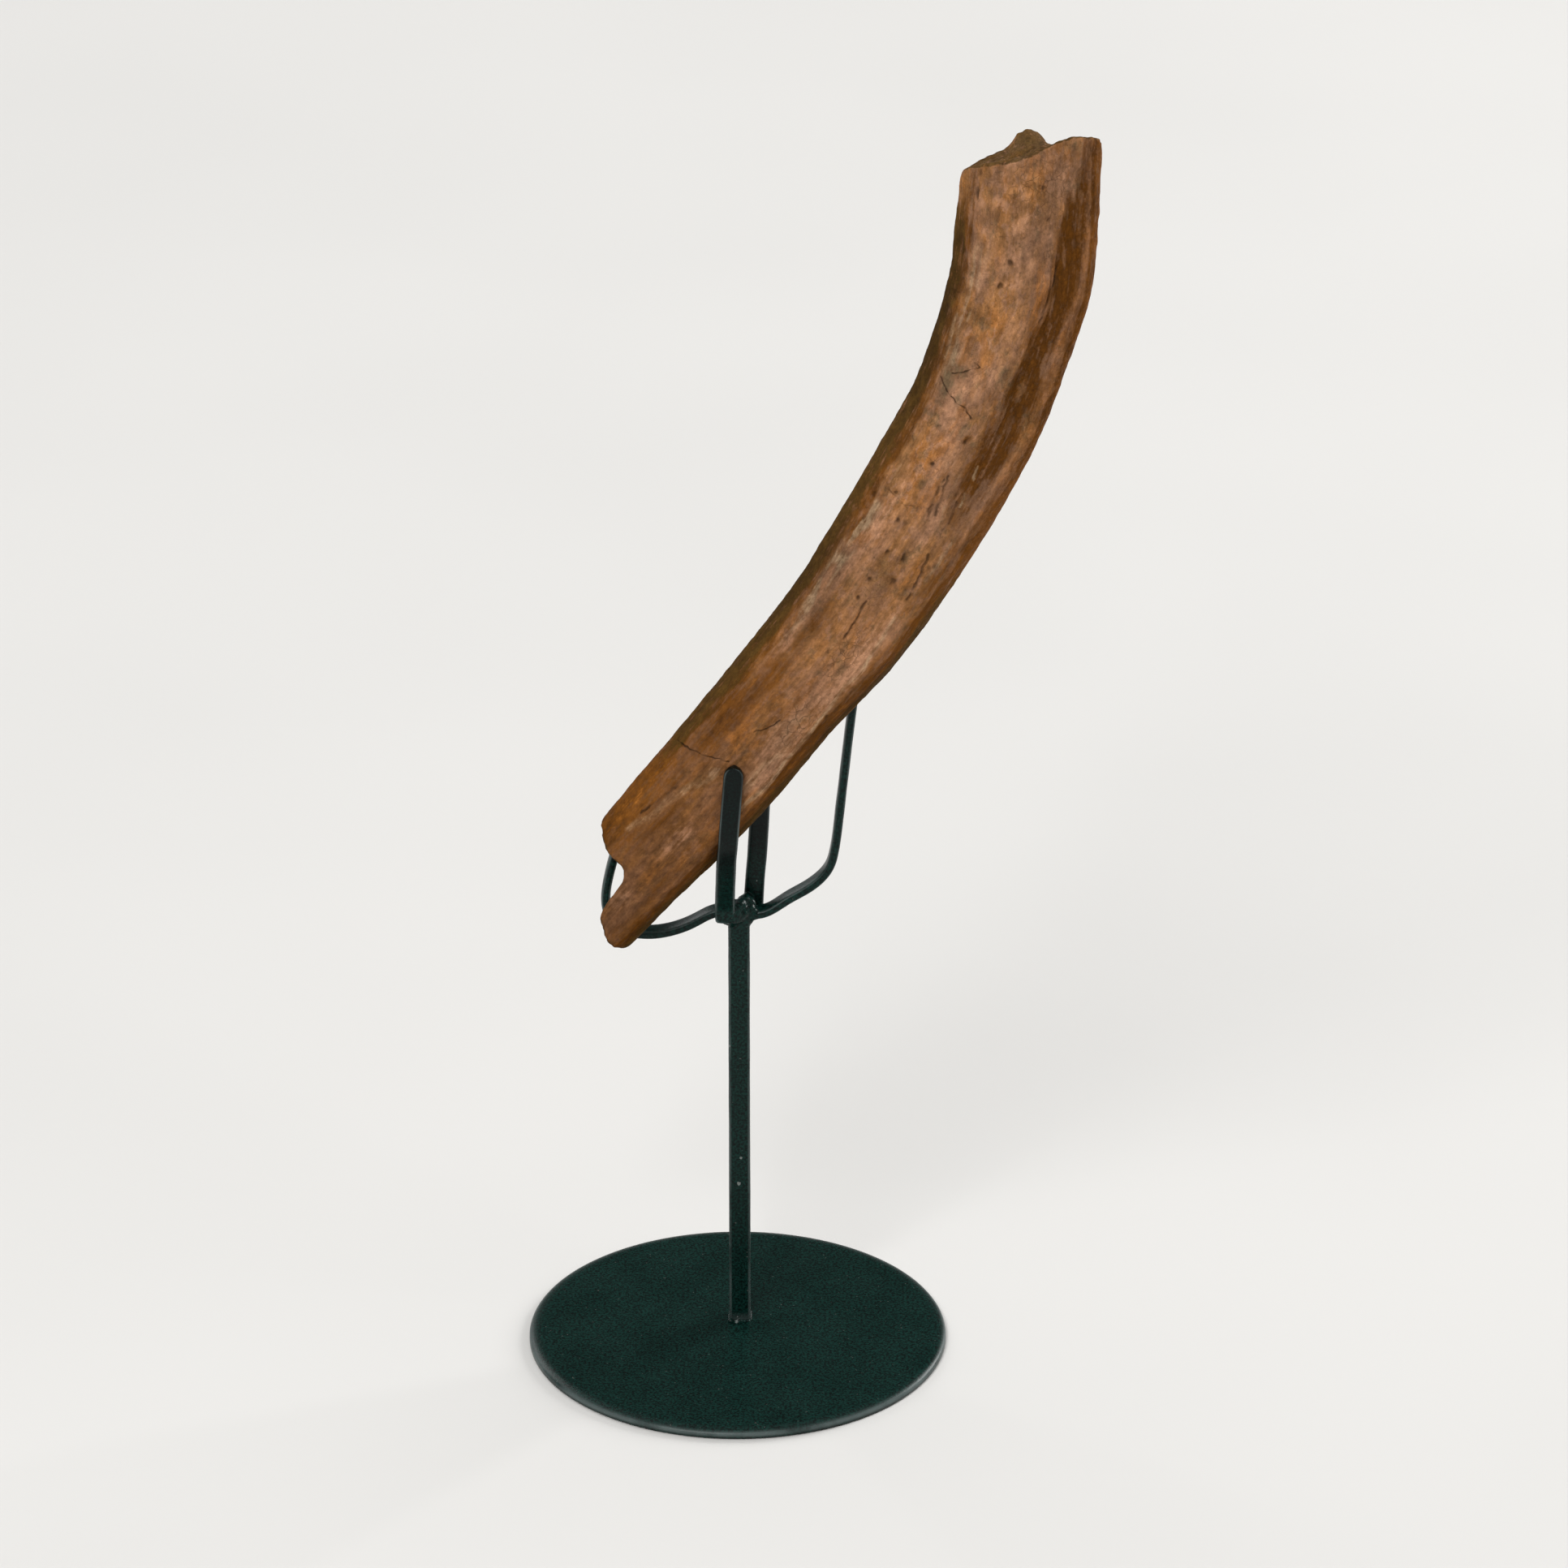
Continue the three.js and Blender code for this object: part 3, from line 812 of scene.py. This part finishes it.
def add_node(tree, kind, inputs=None, **settings):
    """Adds a shader node, sets it, and gives each named or numbered input a value or a link."""
    made = tree.nodes.new("ShaderNode" + kind)
    for name, value in settings.items():
        setattr(made, name, value)
    for name, value in (inputs or {}).items():
        if isinstance(value, bpy.types.NodeSocket):
            tree.links.new(value, made.inputs[name])
        else:
            made.inputs[name].default_value = value
    return made


def mark(tree, name):
    """The number that the piece keeps at each point under a name."""
    return add_node(tree, "Attribute", attribute_name=name).outputs["Fac"]


def noise_in(tree, vector, size, detail=3.0, roughness=0.55, shift=0.0):
    """Noise from 0 to 1 in cells of the given size along each axis of the vector."""
    scale = tuple(1.0 / s for s in size)
    mapped = add_node(tree, "Mapping", {"Vector": vector, "Location": (shift,) * 3, "Scale": scale})
    made = add_node(tree, "TexNoise", {"Vector": mapped.outputs[0], "Scale": 1.0, "Detail": detail,
                                       "Roughness": roughness})
    return made.outputs[0]


def step_in(tree, value, low, high, start=0.0, end=1.0):
    """The value carried smoothly from the range low to high onto start to end."""
    made = add_node(tree, "MapRange", {"Value": value, "From Min": low, "From Max": high,
                                       "To Min": start, "To Max": end},
                    interpolation_type="SMOOTHSTEP")
    return made.outputs["Result"]


def sums(tree, operation, a, b):
    """One sum on two numbers."""
    return add_node(tree, "Math", {0: a, 1: b}, operation=operation).outputs[0]


def times(tree, a, b):
    """The product of two numbers."""
    return sums(tree, "MULTIPLY", a, b)


def plus(tree, a, b):
    """The sum of two numbers."""
    return sums(tree, "ADD", a, b)


def blended(tree, share, a, b, blend="MIX"):
    """Colour a with colour b laid over it by a share."""
    made = add_node(tree, "Mix", {0: share, 6: a, 7: b}, data_type="RGBA", blend_type=blend)
    return made.outputs[2]


def rgba(colour):
    """A colour property as the four numbers that a socket takes."""
    return (*colour, 1.0)


def surface(tree, inputs):
    """The finished surface and the material's output."""
    shader = add_node(tree, "BsdfPrincipled", inputs)
    add_node(tree, "OutputMaterial", {"Surface": shader.outputs[0]})


# ---- Bone material ----------------------------------------------------------------------------------


def bone_material(settings):
    """Mineralised bone: mottled and speckled along the grain, stained, chalky and finely crazed."""
    material, tree = new_material("fossil_bone")
    shaft = add_node(tree, "Attribute", attribute_name="shaft").outputs["Vector"]
    along = add_node(tree, "SeparateXYZ", {0: shaft}).outputs[0]

    # Noises for clouds of colour down to single specks, each drawn out along the shaft.
    clouds = noise_in(tree, shaft, (26, 8, 8), detail=4, roughness=0.6)
    stains = noise_in(tree, shaft, (18, 5, 5), detail=4, roughness=0.6, shift=40)
    greys = noise_in(tree, shaft, (4.6, 3, 3), detail=4, roughness=0.65, shift=60)
    pinks = noise_in(tree, shaft, (3.6, 2, 2), detail=3, roughness=0.6, shift=70)
    mottle = noise_in(tree, shaft, (2.4, 1.7, 1.7), detail=3, roughness=0.6, shift=80)
    grain = noise_in(tree, shaft, (9, 0.7, 0.7), detail=3, shift=100)
    speckle = noise_in(tree, shaft, (0.8, 0.55, 0.55), detail=2, shift=120)
    specks = noise_in(tree, shaft, (1.25, 0.8, 0.8), detail=3, roughness=0.7, shift=140)
    low_end = step_in(tree, along, 165.0, 20.0)
    grained = sums(tree, "MAXIMUM", step_in(tree, along, 185.0, 120.0, 0.35, 0.65), mark(tree, "groove"))

    # The ground colour, browner towards the lower end.
    colour = blended(tree, step_in(tree, clouds, 0.38, 0.64), rgba(settings.tan), rgba(settings.pink))
    colour = blended(tree, step_in(tree, stains, 0.48, 0.68, 0.0, 0.65), colour, rgba(settings.orange))
    colour = blended(tree, step_in(tree, pinks, 0.5, 0.63, 0.0, 0.75), colour, rgba(settings.pink))
    colour = blended(tree, step_in(tree, greys, 0.52, 0.7, 0.0, 0.55), colour, rgba(settings.grey))
    colour = blended(tree, times(tree, low_end, 0.62), colour, rgba(settings.rust))

    # The stains and the edges, each laid over the ones before with a ragged outline.
    ragged = plus(tree, step_in(tree, mottle, 0.3, 0.7, -0.35, 0.35),
                  step_in(tree, grain, 0.3, 0.7, -0.35, 0.35))
    for name, tint, most in (
        ("rosy", settings.pink, 0.85),
        ("brown", settings.umber, 0.85),
        ("grey", settings.grey, 0.85),
        ("ridge", settings.rust, 0.62),
        ("left_edge", settings.umber, 0.85),
        ("right_edge", settings.umber, 0.9),
        ("groove", settings.umber, 0.95),
        ("orange", settings.orange, 0.62),
        ("rind", settings.olive, 0.8),
        ("broken", settings.olive, 0.85),
        ("pale", settings.chalk, 0.6),
        ("chalk", settings.chalk, 0.75),
    ):
        cover = mark(tree, name)
        cover = plus(tree, cover, times(tree, ragged, cover))
        colour = blended(tree, step_in(tree, cover, 0.08, 0.95, 0.0, most), colour, rgba(tint))

    # Light and dark grain, speckle and specks, and painted shade and light from the relief.
    shade = step_in(tree, mottle, 0.28, 0.72, 0.77, 1.23)
    streaked = times(tree, grained, step_in(tree, grain, 0.3, 0.7, -0.18, 0.18))
    shade = times(tree, shade, plus(tree, streaked, 1.0))
    shade = times(tree, shade, step_in(tree, speckle, 0.3, 0.7, 0.88, 1.12))
    # Painted shade where the relief sinks and painted light where it rises.
    shade = times(tree, shade, step_in(tree, mark(tree, "height"), -0.4, 0.12, 0.6, 1.14))
    darkest = step_in(tree, along, 70.0, 140.0, 0.9, 0.0)
    dark_specks = sums(tree, "MAXIMUM", step_in(tree, specks, 0.57, 0.74, 1.0, 0.66), darkest)
    shade = times(tree, shade, dark_specks)
    shade = times(tree, shade, step_in(tree, specks, 0.38, 0.28, 1.0, 1.35))
    colour = blended(tree, 1.0, colour, shade, "MULTIPLY")

    # Crazing, pale flecks on the ridge, and the bottoms of the hollows.
    crazing = crazed_lines(tree, shaft, (3.0, 2.4), times(tree, mark(tree, "crazed"), mottle))
    presence = times(tree, greys, step_in(tree, along, 90.0, 170.0, 0.45, 0.8))
    finer = crazed_lines(tree, shaft, (1.9, 1.4), presence)
    crazing = sums(tree, "MAXIMUM", crazing, times(tree, finer, 0.5))
    flecks = times(tree, mark(tree, "ridge"), step_in(tree, specks, 0.52, 0.32))
    colour = blended(tree, times(tree, flecks, 0.2), colour, rgba(settings.pink))
    for hollow, most in (("crack", 0.6), ("furrow", 0.4), ("pit", 0.5), ("pore", 0.22)):
        cover = step_in(tree, mark(tree, hollow), 0.15, 0.9, 0.0, most)
        colour = blended(tree, cover, colour, HOLLOW_DARK)
    colour = blended(tree, times(tree, crazing, 0.45), colour, HOLLOW_DARK)

    # The finest roughness, too small for the mesh.
    bumps = plus(tree, times(tree, speckle, 0.6), times(tree, grain, times(tree, grained, 0.7)))
    bumps = plus(tree, bumps, mottle)
    bumps = sums(tree, "SUBTRACT", bumps, times(tree, crazing, 0.4))
    bump = add_node(tree, "Bump", {"Strength": 0.8, "Distance": 0.18 * MM, "Height": bumps})
    surface(tree, {
        "Base Color": colour,
        "Roughness": step_in(tree, mottle, 0.3, 0.7, 0.6, 0.8),
        "Specular IOR Level": 0.02,
        "Normal": bump.outputs[0],
    })
    return material


def crazed_lines(tree, shaft, cell, presence):
    """A network of hair-fine lines round cells of the given length and width, where the presence is high."""
    warp = add_node(tree, "TexNoise", {"Vector": shaft, "Scale": 0.45, "Detail": 2.0})
    bent = add_node(tree, "VectorMath", {0: warp.outputs["Color"], "Scale": 2.2}, operation="SCALE")
    moved = add_node(tree, "VectorMath", {0: shaft, 1: bent.outputs[0]}, operation="ADD")
    length, width = cell
    squeezed = add_node(tree, "Mapping", {"Vector": moved.outputs[0],
                                          "Scale": (1 / length, 1 / width, 1 / width)})
    cells = add_node(tree, "TexVoronoi", {"Vector": squeezed.outputs[0], "Scale": 1.0},
                     feature="DISTANCE_TO_EDGE")
    lines = step_in(tree, cells.outputs["Distance"], 0.01, 0.045, 1.0, 0.0)
    return times(tree, lines, step_in(tree, presence, 0.15, 0.5))


# ---- The stand --------------------------------------------------------------------------------------


def paint_material(settings):
    """Nearly black, green satin paint with fine orange peel, dust, chips and painted highlights and shade.
    """
    material, tree = new_material("satin_paint")
    place = add_node(tree, "TexCoord").outputs["Object"]
    patches = noise_in(tree, place, (14 * MM,) * 3, detail=3)
    grains = noise_in(tree, place, (0.6 * MM,) * 3, detail=2, shift=30)
    dust = noise_in(tree, place, (0.7 * MM,) * 3, detail=1, shift=70)
    colour = blended(tree, step_in(tree, patches, 0.3, 0.7), rgba([0.9 * c for c in settings.paint]),
                     rgba([1.1 * c for c in settings.paint]))
    colour = blended(tree, 1.0, colour, step_in(tree, grains, 0.32, 0.68, 0.35, 2.6), "MULTIPLY")
    colour = blended(tree, step_in(tree, dust, 0.74, 0.8, 0.0, 0.45), colour, PAINT_DUST)
    # Painted shade: the upper front and back straps darkened nearly to black.
    colour = blended(tree, mark(tree, "dulled"), colour, PAINTED_SHADE_COLOUR)
    # Painted highlight: a lighter line along the edges that turn outward.
    highlighted = times(tree, mark(tree, "edge"), step_in(tree, patches, 0.3, 0.6, 0.2, 0.8))
    colour = blended(tree, highlighted, colour, rgba(settings.highlighted))
    worn = None
    # Chipped spots, and one painted glint at the post's foot, in the chip colour.
    for x, y, z, radius in CHIPS_AND_GLINT:
        spot = (x * MM, y * MM, z * MM)
        gap = add_node(tree, "VectorMath", {0: place, 1: spot}, operation="DISTANCE").outputs["Value"]
        ragged = plus(tree, gap, step_in(tree, dust, 0.2, 0.8, -0.5 * radius * MM, 0.5 * radius * MM))
        chip_and_glint = step_in(tree, ragged, 0.7 * radius * MM, radius * MM, 1.0, 0.0)
        worn = chip_and_glint if worn is None else sums(tree, "MAXIMUM", worn, chip_and_glint)
    colour = blended(tree, times(tree, worn, 0.85), colour, rgba(settings.chip_and_glint))
    bumps = sums(tree, "SUBTRACT", grains, times(tree, worn, 0.8))
    bump = add_node(tree, "Bump", {"Strength": 0.7, "Distance": 0.06 * MM, "Height": bumps})
    roughness = step_in(tree, patches, 0.3, 0.7, settings.roughness - 0.02, settings.roughness + 0.03)
    surface(tree, {"Base Color": colour, "Roughness": roughness, "Normal": bump.outputs[0],
                   "Specular IOR Level": 0.15})
    return material


def mark_edges(piece):
    """Keeps how sharply the piece turns outward at each point, for the painted highlight along its edges."""
    mesh = piece.data
    ends = np.empty(2 * len(mesh.edges), dtype=int)
    mesh.edges.foreach_get("vertices", ends)
    start, end = ends.reshape(-1, 2).T
    points, normals = mesh_points(piece), mesh_rows(piece, "normal")
    step = points[end] - points[start]
    step /= np.linalg.norm(step, axis=1)[:, None]
    turn = np.bincount(end, (step * normals[end]).sum(1), len(points))
    turn -= np.bincount(start, (step * normals[start]).sum(1), len(points))
    turn /= np.bincount(ends, minlength=len(points))
    store(piece, "edge", smooth_share(turn, 0.06, 0.13))


def hammer(piece, height, cell):
    """Gives a metal piece the slight unevenness of hand work."""
    cells = mesh_points(piece) / cell
    waves = np.array([noise.noise(point) for point in cells.tolist()])
    push_along_normals(piece, height * (waves - 0.3))


def build_base():
    """The round base plate: a disc with a drawn-down, rounded shoulder."""
    low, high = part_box("base_plate")
    radius = (high.x - low.x) / 2
    thickness = high.z - low.z
    rim_height = 1.1 * MM
    shoulder = 3.6 * MM
    edge_ease = 0.4 * MM
    bpy.ops.object.select_all(action="DESELECT")
    bpy.ops.mesh.primitive_cylinder_add(
        vertices=224, radius=radius, depth=rim_height, end_fill_type="NGON",
        location=(0.0, 0.0, rim_height / 2))
    base = bpy.context.object
    base.name = "stand_base"
    bpy.ops.object.transform_apply(location=True, rotation=True, scale=True)
    bpy.ops.object.mode_set(mode="EDIT")
    select_level_face(base, rim_height)
    reach, height = radius, rim_height
    steps = 8
    for step in range(1, steps + 1):
        angle = math.radians(90.0 * step / steps)
        new_reach = radius - shoulder * (1 - math.cos(angle))
        new_height = rim_height + (thickness - rim_height) * math.sin(angle)
        bpy.ops.mesh.extrude_region_move(
            TRANSFORM_OT_translate={"value": (0.0, 0.0, new_height - height)})
        shrink = new_reach / reach
        bpy.ops.transform.resize(value=(shrink, shrink, 1.0), center_override=(0.0, 0.0, new_height))
        reach, height = new_reach, new_height
    rings = (0.72, 0.4)
    for share in rings:
        bpy.ops.mesh.inset(thickness=reach - reach * share, depth=0.0)
        reach *= share
    select_level_face(base, 0.0)
    bpy.ops.mesh.inset(thickness=edge_ease, depth=0.0)
    bpy.ops.mesh.select_all(action="DESELECT")
    bpy.ops.object.mode_set(mode="OBJECT")
    for vertex in base.data.vertices:
        vertex.select = vertex.co.z < 0.01 * MM and math.hypot(vertex.co.x, vertex.co.y) > radius - 0.05 * MM
    bpy.ops.object.mode_set(mode="EDIT")
    bpy.ops.transform.translate(value=(0.0, 0.0, edge_ease))
    bpy.ops.object.mode_set(mode="OBJECT")
    points = mesh_points(base)
    reach = np.hypot(points[:, 0], points[:, 1])
    # A painted highlight: a thin lighter line all round the outer shoulder of the rim.
    store(base, "edge", smooth_share(reach, radius - 0.9 * MM, radius) * (points[:, 2] > 0.8 * MM))
    return base


def select_level_face(piece, height):
    """Goes into edit mode with only the level faces at a height selected."""
    bpy.ops.object.mode_set(mode="OBJECT")
    select_faces(piece, [
        abs(face.normal.z) > 0.99 and abs(face.center.z - height) < 0.01 * MM
        for face in piece.data.polygons
    ])


def build_post(settings):
    """The square post: a bar with softened corners, a little uneven along its length."""
    low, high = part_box("post")
    middle = (low + high) / 2
    bpy.ops.object.select_all(action="DESELECT")
    bpy.ops.mesh.primitive_cube_add(size=1.0, location=middle)
    post = bpy.context.object
    post.name = "stand_post"
    post.scale = high - low
    bpy.ops.object.transform_apply(location=True, rotation=True, scale=True)
    edit_all(post)
    bpy.ops.mesh.bevel(offset=0.7 * MM, segments=4, profile=0.5)
    bpy.ops.object.mode_set(mode="OBJECT")
    select_long_edges(post, 50 * MM)
    bpy.ops.object.mode_set(mode="EDIT")
    bpy.ops.mesh.subdivide(number_cuts=60)
    bpy.ops.object.mode_set(mode="OBJECT")
    hammer(post, settings.hammering, 9 * MM)
    mark_edges(post)
    return post


def select_long_edges(piece, length):
    """Selects only the edges longer than a length."""
    mesh = piece.data
    for group in (mesh.vertices, mesh.edges, mesh.polygons):
        group.foreach_set("select", [False] * len(group))
    for edge in mesh.edges:
        start, end = (mesh.vertices[index].co for index in edge.vertices)
        edge.select = (end - start).length > length


def build_strap(node, name, settings):
    """One bent strap: the solid's skin made of even quads, rounded over and slightly hammered."""
    strap = merged_copy(node, name)
    edit_all(strap)
    bpy.ops.mesh.tris_convert_to_quads(face_threshold=math.radians(60), shape_threshold=math.radians(60))
    bpy.ops.object.mode_set(mode="OBJECT")
    apply_modifier(strap, "SUBSURF", levels=2, render_levels=2)
    hammer(strap, settings.hammering, 6 * MM)
    mark_edges(strap)
    # Painted shade: the paint darkened towards the strap's top.
    if name in SHADED_FROM:
        lowest = SHADED_FROM[name]
        height = mesh_points(strap)[:, 2] / MM
        store(strap, "dulled", DEEPEST_SHADE * smooth_share(height, lowest, lowest + SHADE_REACH))
    return strap


def add_ball(place, radius):
    """A ball of weld metal at a place in millimetres."""
    bpy.ops.object.select_all(action="DESELECT")
    bpy.ops.mesh.primitive_ico_sphere_add(
        subdivisions=3, radius=radius * MM, location=[MM * value for value in place])
    return bpy.context.object


def run_together(name, parts, fineness, rounds):
    """Joins overlapping parts into one skin and melts their edges."""
    bpy.ops.object.select_all(action="DESELECT")
    for part in parts:
        part.select_set(True)
    bpy.context.view_layer.objects.active = parts[0]
    bpy.ops.object.join()
    weld = bpy.context.object
    weld.name = name
    bpy.ops.object.transform_apply(location=True, rotation=True, scale=True)
    apply_modifier(weld, "REMESH", mode="VOXEL", voxel_size=fineness)
    apply_modifier(weld, "SMOOTH", factor=0.5, iterations=rounds)
    return weld


def build_hub():
    """The weld at the top of the post: the ends that meet there, run together with the laid metal."""
    parts = []
    for node, cut_place, cut_away in WELDED_ENDS:
        part = merged_copy(node, "welded_end")
        edit_all(part)
        bpy.ops.mesh.bisect(plane_co=[MM * value for value in cut_place], plane_no=cut_away,
                            use_fill=True, clear_outer=True)
        bpy.ops.object.mode_set(mode="OBJECT")
        parts.append(part)
    parts += [add_ball(place, radius) for *place, radius in WELD_BEADS]
    hub = run_together("weld_hub", parts, 0.2 * MM, 40)
    points = mesh_points(hub) / MM
    away = np.linalg.norm(points - WELD_MIDDLE, axis=1)
    ripple = np.array([noise.noise(point) for point in (points / 1.1).tolist()])
    # The weld stands proud of the bars round its middle, and sinks into them further out.
    lift = 0.22 - 0.6 * smooth_share(away, 3.6, 6.4) + 0.05 * ripple
    push_along_normals(hub, MM * lift)
    apply_modifier(hub, "SMOOTH", factor=0.5, iterations=6)
    return hub


def build_foot():
    """The thin fillet of weld round the post's foot, with a blob at its front corner."""
    low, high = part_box("post")
    middle = (low + high) / (2 * MM)
    half = (high.x - low.x) / (2 * MM)
    parts = [add_ball((middle.x - 0.9 * half, middle.y - 1.05 * half, low.z / MM + 0.1), 0.75)]
    count = 28
    for index in range(count):
        angle = 2 * math.pi * index / count
        reach = 0.98 * half / max(abs(math.cos(angle)), abs(math.sin(angle)))
        reach = min(reach, 1.28 * half)
        uneven = 0.42 + 0.1 * noise.noise((3.0 * math.cos(angle), 3.0 * math.sin(angle), 4.0))
        place = (middle.x + reach * math.cos(angle), middle.y + reach * math.sin(angle), low.z / MM)
        parts.append(add_ball(place, uneven))
    return run_together("weld_foot", parts, 0.12 * MM, 6)


# ---- The stage --------------------------------------------------------------------------------------


def floor_material(colour):
    """A plain pale floor, very slightly mottled."""
    material, tree = new_material("floor")
    place = add_node(tree, "TexCoord").outputs["Object"]
    mottle = noise_in(tree, place, (0.3, 0.3, 0.3), detail=2)
    pale = blended(tree, step_in(tree, mottle, 0.3, 0.7), rgba(colour), rgba([0.97 * c for c in colour]))
    surface(tree, {"Base Color": pale, "Roughness": 0.75})
    return material


def add_soft_light(name, place, size, power):
    """A square soft light at a place, turned to the object."""
    light = bpy.data.lights.new(name, "AREA")
    light.shape = "SQUARE"
    light.size = size
    light.energy = power
    lamp = bpy.data.objects.new(name, light)
    lamp.location = place
    lamp.rotation_euler = (Vector(LIGHTS_AIM) - Vector(place)).to_track_quat("-Z", "Y").to_euler()
    bpy.context.scene.collection.objects.link(lamp)


def add_ceiling_light(strength):
    """An even light straight down, so soft that it draws no shadow edges."""
    light = bpy.data.lights.new("ceiling", "SUN")
    light.energy = strength
    light.angle = CEILING_SOFTNESS
    bpy.context.scene.collection.objects.link(bpy.data.objects.new("ceiling", light))


def add_camera(settings):
    """The camera, looking down along +Y at its target."""
    target = Vector(settings.camera_target)
    pitch = settings.camera_pitch
    back = Vector((0.0, -math.cos(pitch), math.sin(pitch)))
    data = bpy.data.cameras.new("camera")
    data.lens = settings.camera_lens
    data.sensor_width = 36.0
    data.clip_start = 0.05
    data.clip_end = 30.0
    camera = bpy.data.objects.new("camera", data)
    camera.location = target + settings.camera_distance * back
    camera.rotation_euler = (math.pi / 2 - pitch, 0.0, 0.0)
    bpy.context.scene.collection.objects.link(camera)
    bpy.context.scene.camera = camera


def add_sky(horizon, overhead):
    """Pale light at the horizon, fading to a dim studio ceiling."""
    world = bpy.data.worlds.new("studio")
    world.use_nodes = True
    tree = world.node_tree
    height = add_node(tree, "SeparateXYZ", {0: add_node(tree, "TexCoord").outputs["Generated"]})
    colour = blended(tree, step_in(tree, height.outputs[2], 0.1, 0.28),
                     (horizon, horizon, horizon, 1.0), (overhead, overhead, overhead, 1.0))
    tree.links.new(colour, tree.nodes["Background"].inputs["Color"])
    bpy.context.scene.world = world


# ---- Operators --------------------------------------------------------------------------------------


class FOSSIL_OT_rib(bpy.types.Operator):
    """Build the fossil bone"""

    bl_idname = "fossil.rib"
    bl_label = "Fossil Bone"

    def execute(self, context):
        settings = context.scene.fossil_rib
        bone = build_bone(settings)
        finish_piece(bone, bone_material(settings), "fossil_bone", "rib")
        return {"FINISHED"}


def finish_steel(piece, settings, *nodes):
    """Finishes a piece of the stand in its one paint, made for the first piece that asks for it."""
    paint = bpy.data.materials.get("satin_paint") or paint_material(settings)
    finish_piece(piece, paint, "stand_paint", *nodes)


class FOSSIL_OT_base(bpy.types.Operator):
    """Build the round base plate of the stand"""

    bl_idname = "fossil.base"
    bl_label = "Base Plate"

    def execute(self, context):
        finish_steel(build_base(), context.scene.fossil_stand, "base_plate")
        return {"FINISHED"}


class FOSSIL_OT_post(bpy.types.Operator):
    """Build the square post of the stand"""

    bl_idname = "fossil.post"
    bl_label = "Post"

    def execute(self, context):
        settings = context.scene.fossil_stand
        finish_steel(build_post(settings), settings, "post")
        return {"FINISHED"}


class FOSSIL_OT_straps(bpy.types.Operator):
    """Build the four bent straps that hold the bone"""

    bl_idname = "fossil.straps"
    bl_label = "Straps"

    def execute(self, context):
        settings = context.scene.fossil_stand
        for side in ("front", "back", "left", "right"):
            strap = build_strap("prong_" + side, "strap_" + side, settings)
            finish_steel(strap, settings, "prong_" + side)
        return {"FINISHED"}


class FOSSIL_OT_welds(bpy.types.Operator):
    """Build the welds at the top and at the foot of the post"""

    bl_idname = "fossil.welds"
    bl_label = "Welds"

    def execute(self, context):
        settings = context.scene.fossil_stand
        finish_steel(build_hub(), settings)
        finish_steel(build_foot(), settings)
        return {"FINISHED"}


class FOSSIL_OT_stage(bpy.types.Operator):
    """Lay the floor and set the lights and the camera"""

    bl_idname = "fossil.stage"
    bl_label = "Studio"

    def execute(self, context):
        settings = context.scene.fossil_stage
        bpy.ops.object.select_all(action="DESELECT")
        bpy.ops.mesh.primitive_plane_add(size=settings.floor_size, location=(0.0, 0.0, -FLOOR_DROP))
        floor = context.object
        floor.name = "floor"
        floor.data.materials.append(floor_material(settings.floor_colour))
        for name, place, size in LIGHTS:
            add_soft_light(name, place, size, getattr(settings, name + "_power"))
        add_ceiling_light(settings.ceiling_strength)
        add_sky(settings.horizon, settings.overhead)
        add_camera(settings)
        context.scene.view_settings.view_transform = "Standard"
        return {"FINISHED"}


class FOSSIL_PT_panel(bpy.types.Panel):
    """The sidebar panel of the fossil rib"""

    bl_idname = "FOSSIL_PT_panel"
    bl_label = "Fossil Rib"
    bl_space_type = "VIEW_3D"
    bl_region_type = "UI"
    bl_category = "Fossil Rib"

    def draw(self, context):
        layout = self.layout
        for group, operators in (
            (context.scene.fossil_rib, ["fossil.rib"]),
            (context.scene.fossil_stand, ["fossil.base", "fossil.post", "fossil.straps", "fossil.welds"]),
            (context.scene.fossil_stage, ["fossil.stage"]),
        ):
            box = layout.box()
            for name in group.__annotations__:
                box.prop(group, name)
            for operator in operators:
                box.operator(operator)


CLASSES = (
    RibSettings,
    StandSettings,
    StageSettings,
    FOSSIL_OT_rib,
    FOSSIL_OT_base,
    FOSSIL_OT_post,
    FOSSIL_OT_straps,
    FOSSIL_OT_welds,
    FOSSIL_OT_stage,
    FOSSIL_PT_panel,
)


def register():
    for cls in CLASSES:
        bpy.utils.register_class(cls)
    bpy.types.Scene.fossil_rib = bpy.props.PointerProperty(type=RibSettings)
    bpy.types.Scene.fossil_stand = bpy.props.PointerProperty(type=StandSettings)
    bpy.types.Scene.fossil_stage = bpy.props.PointerProperty(type=StageSettings)


def unregister():
    del bpy.types.Scene.fossil_stage
    del bpy.types.Scene.fossil_stand
    del bpy.types.Scene.fossil_rib
    for cls in reversed(CLASSES):
        bpy.utils.unregister_class(cls)


def main():
    register()
    bpy.ops.fossil.stage()
    bpy.ops.fossil.rib()
    bpy.ops.fossil.base()
    bpy.ops.fossil.post()
    bpy.ops.fossil.straps()
    bpy.ops.fossil.welds()


if __name__ == "__main__":
    main()
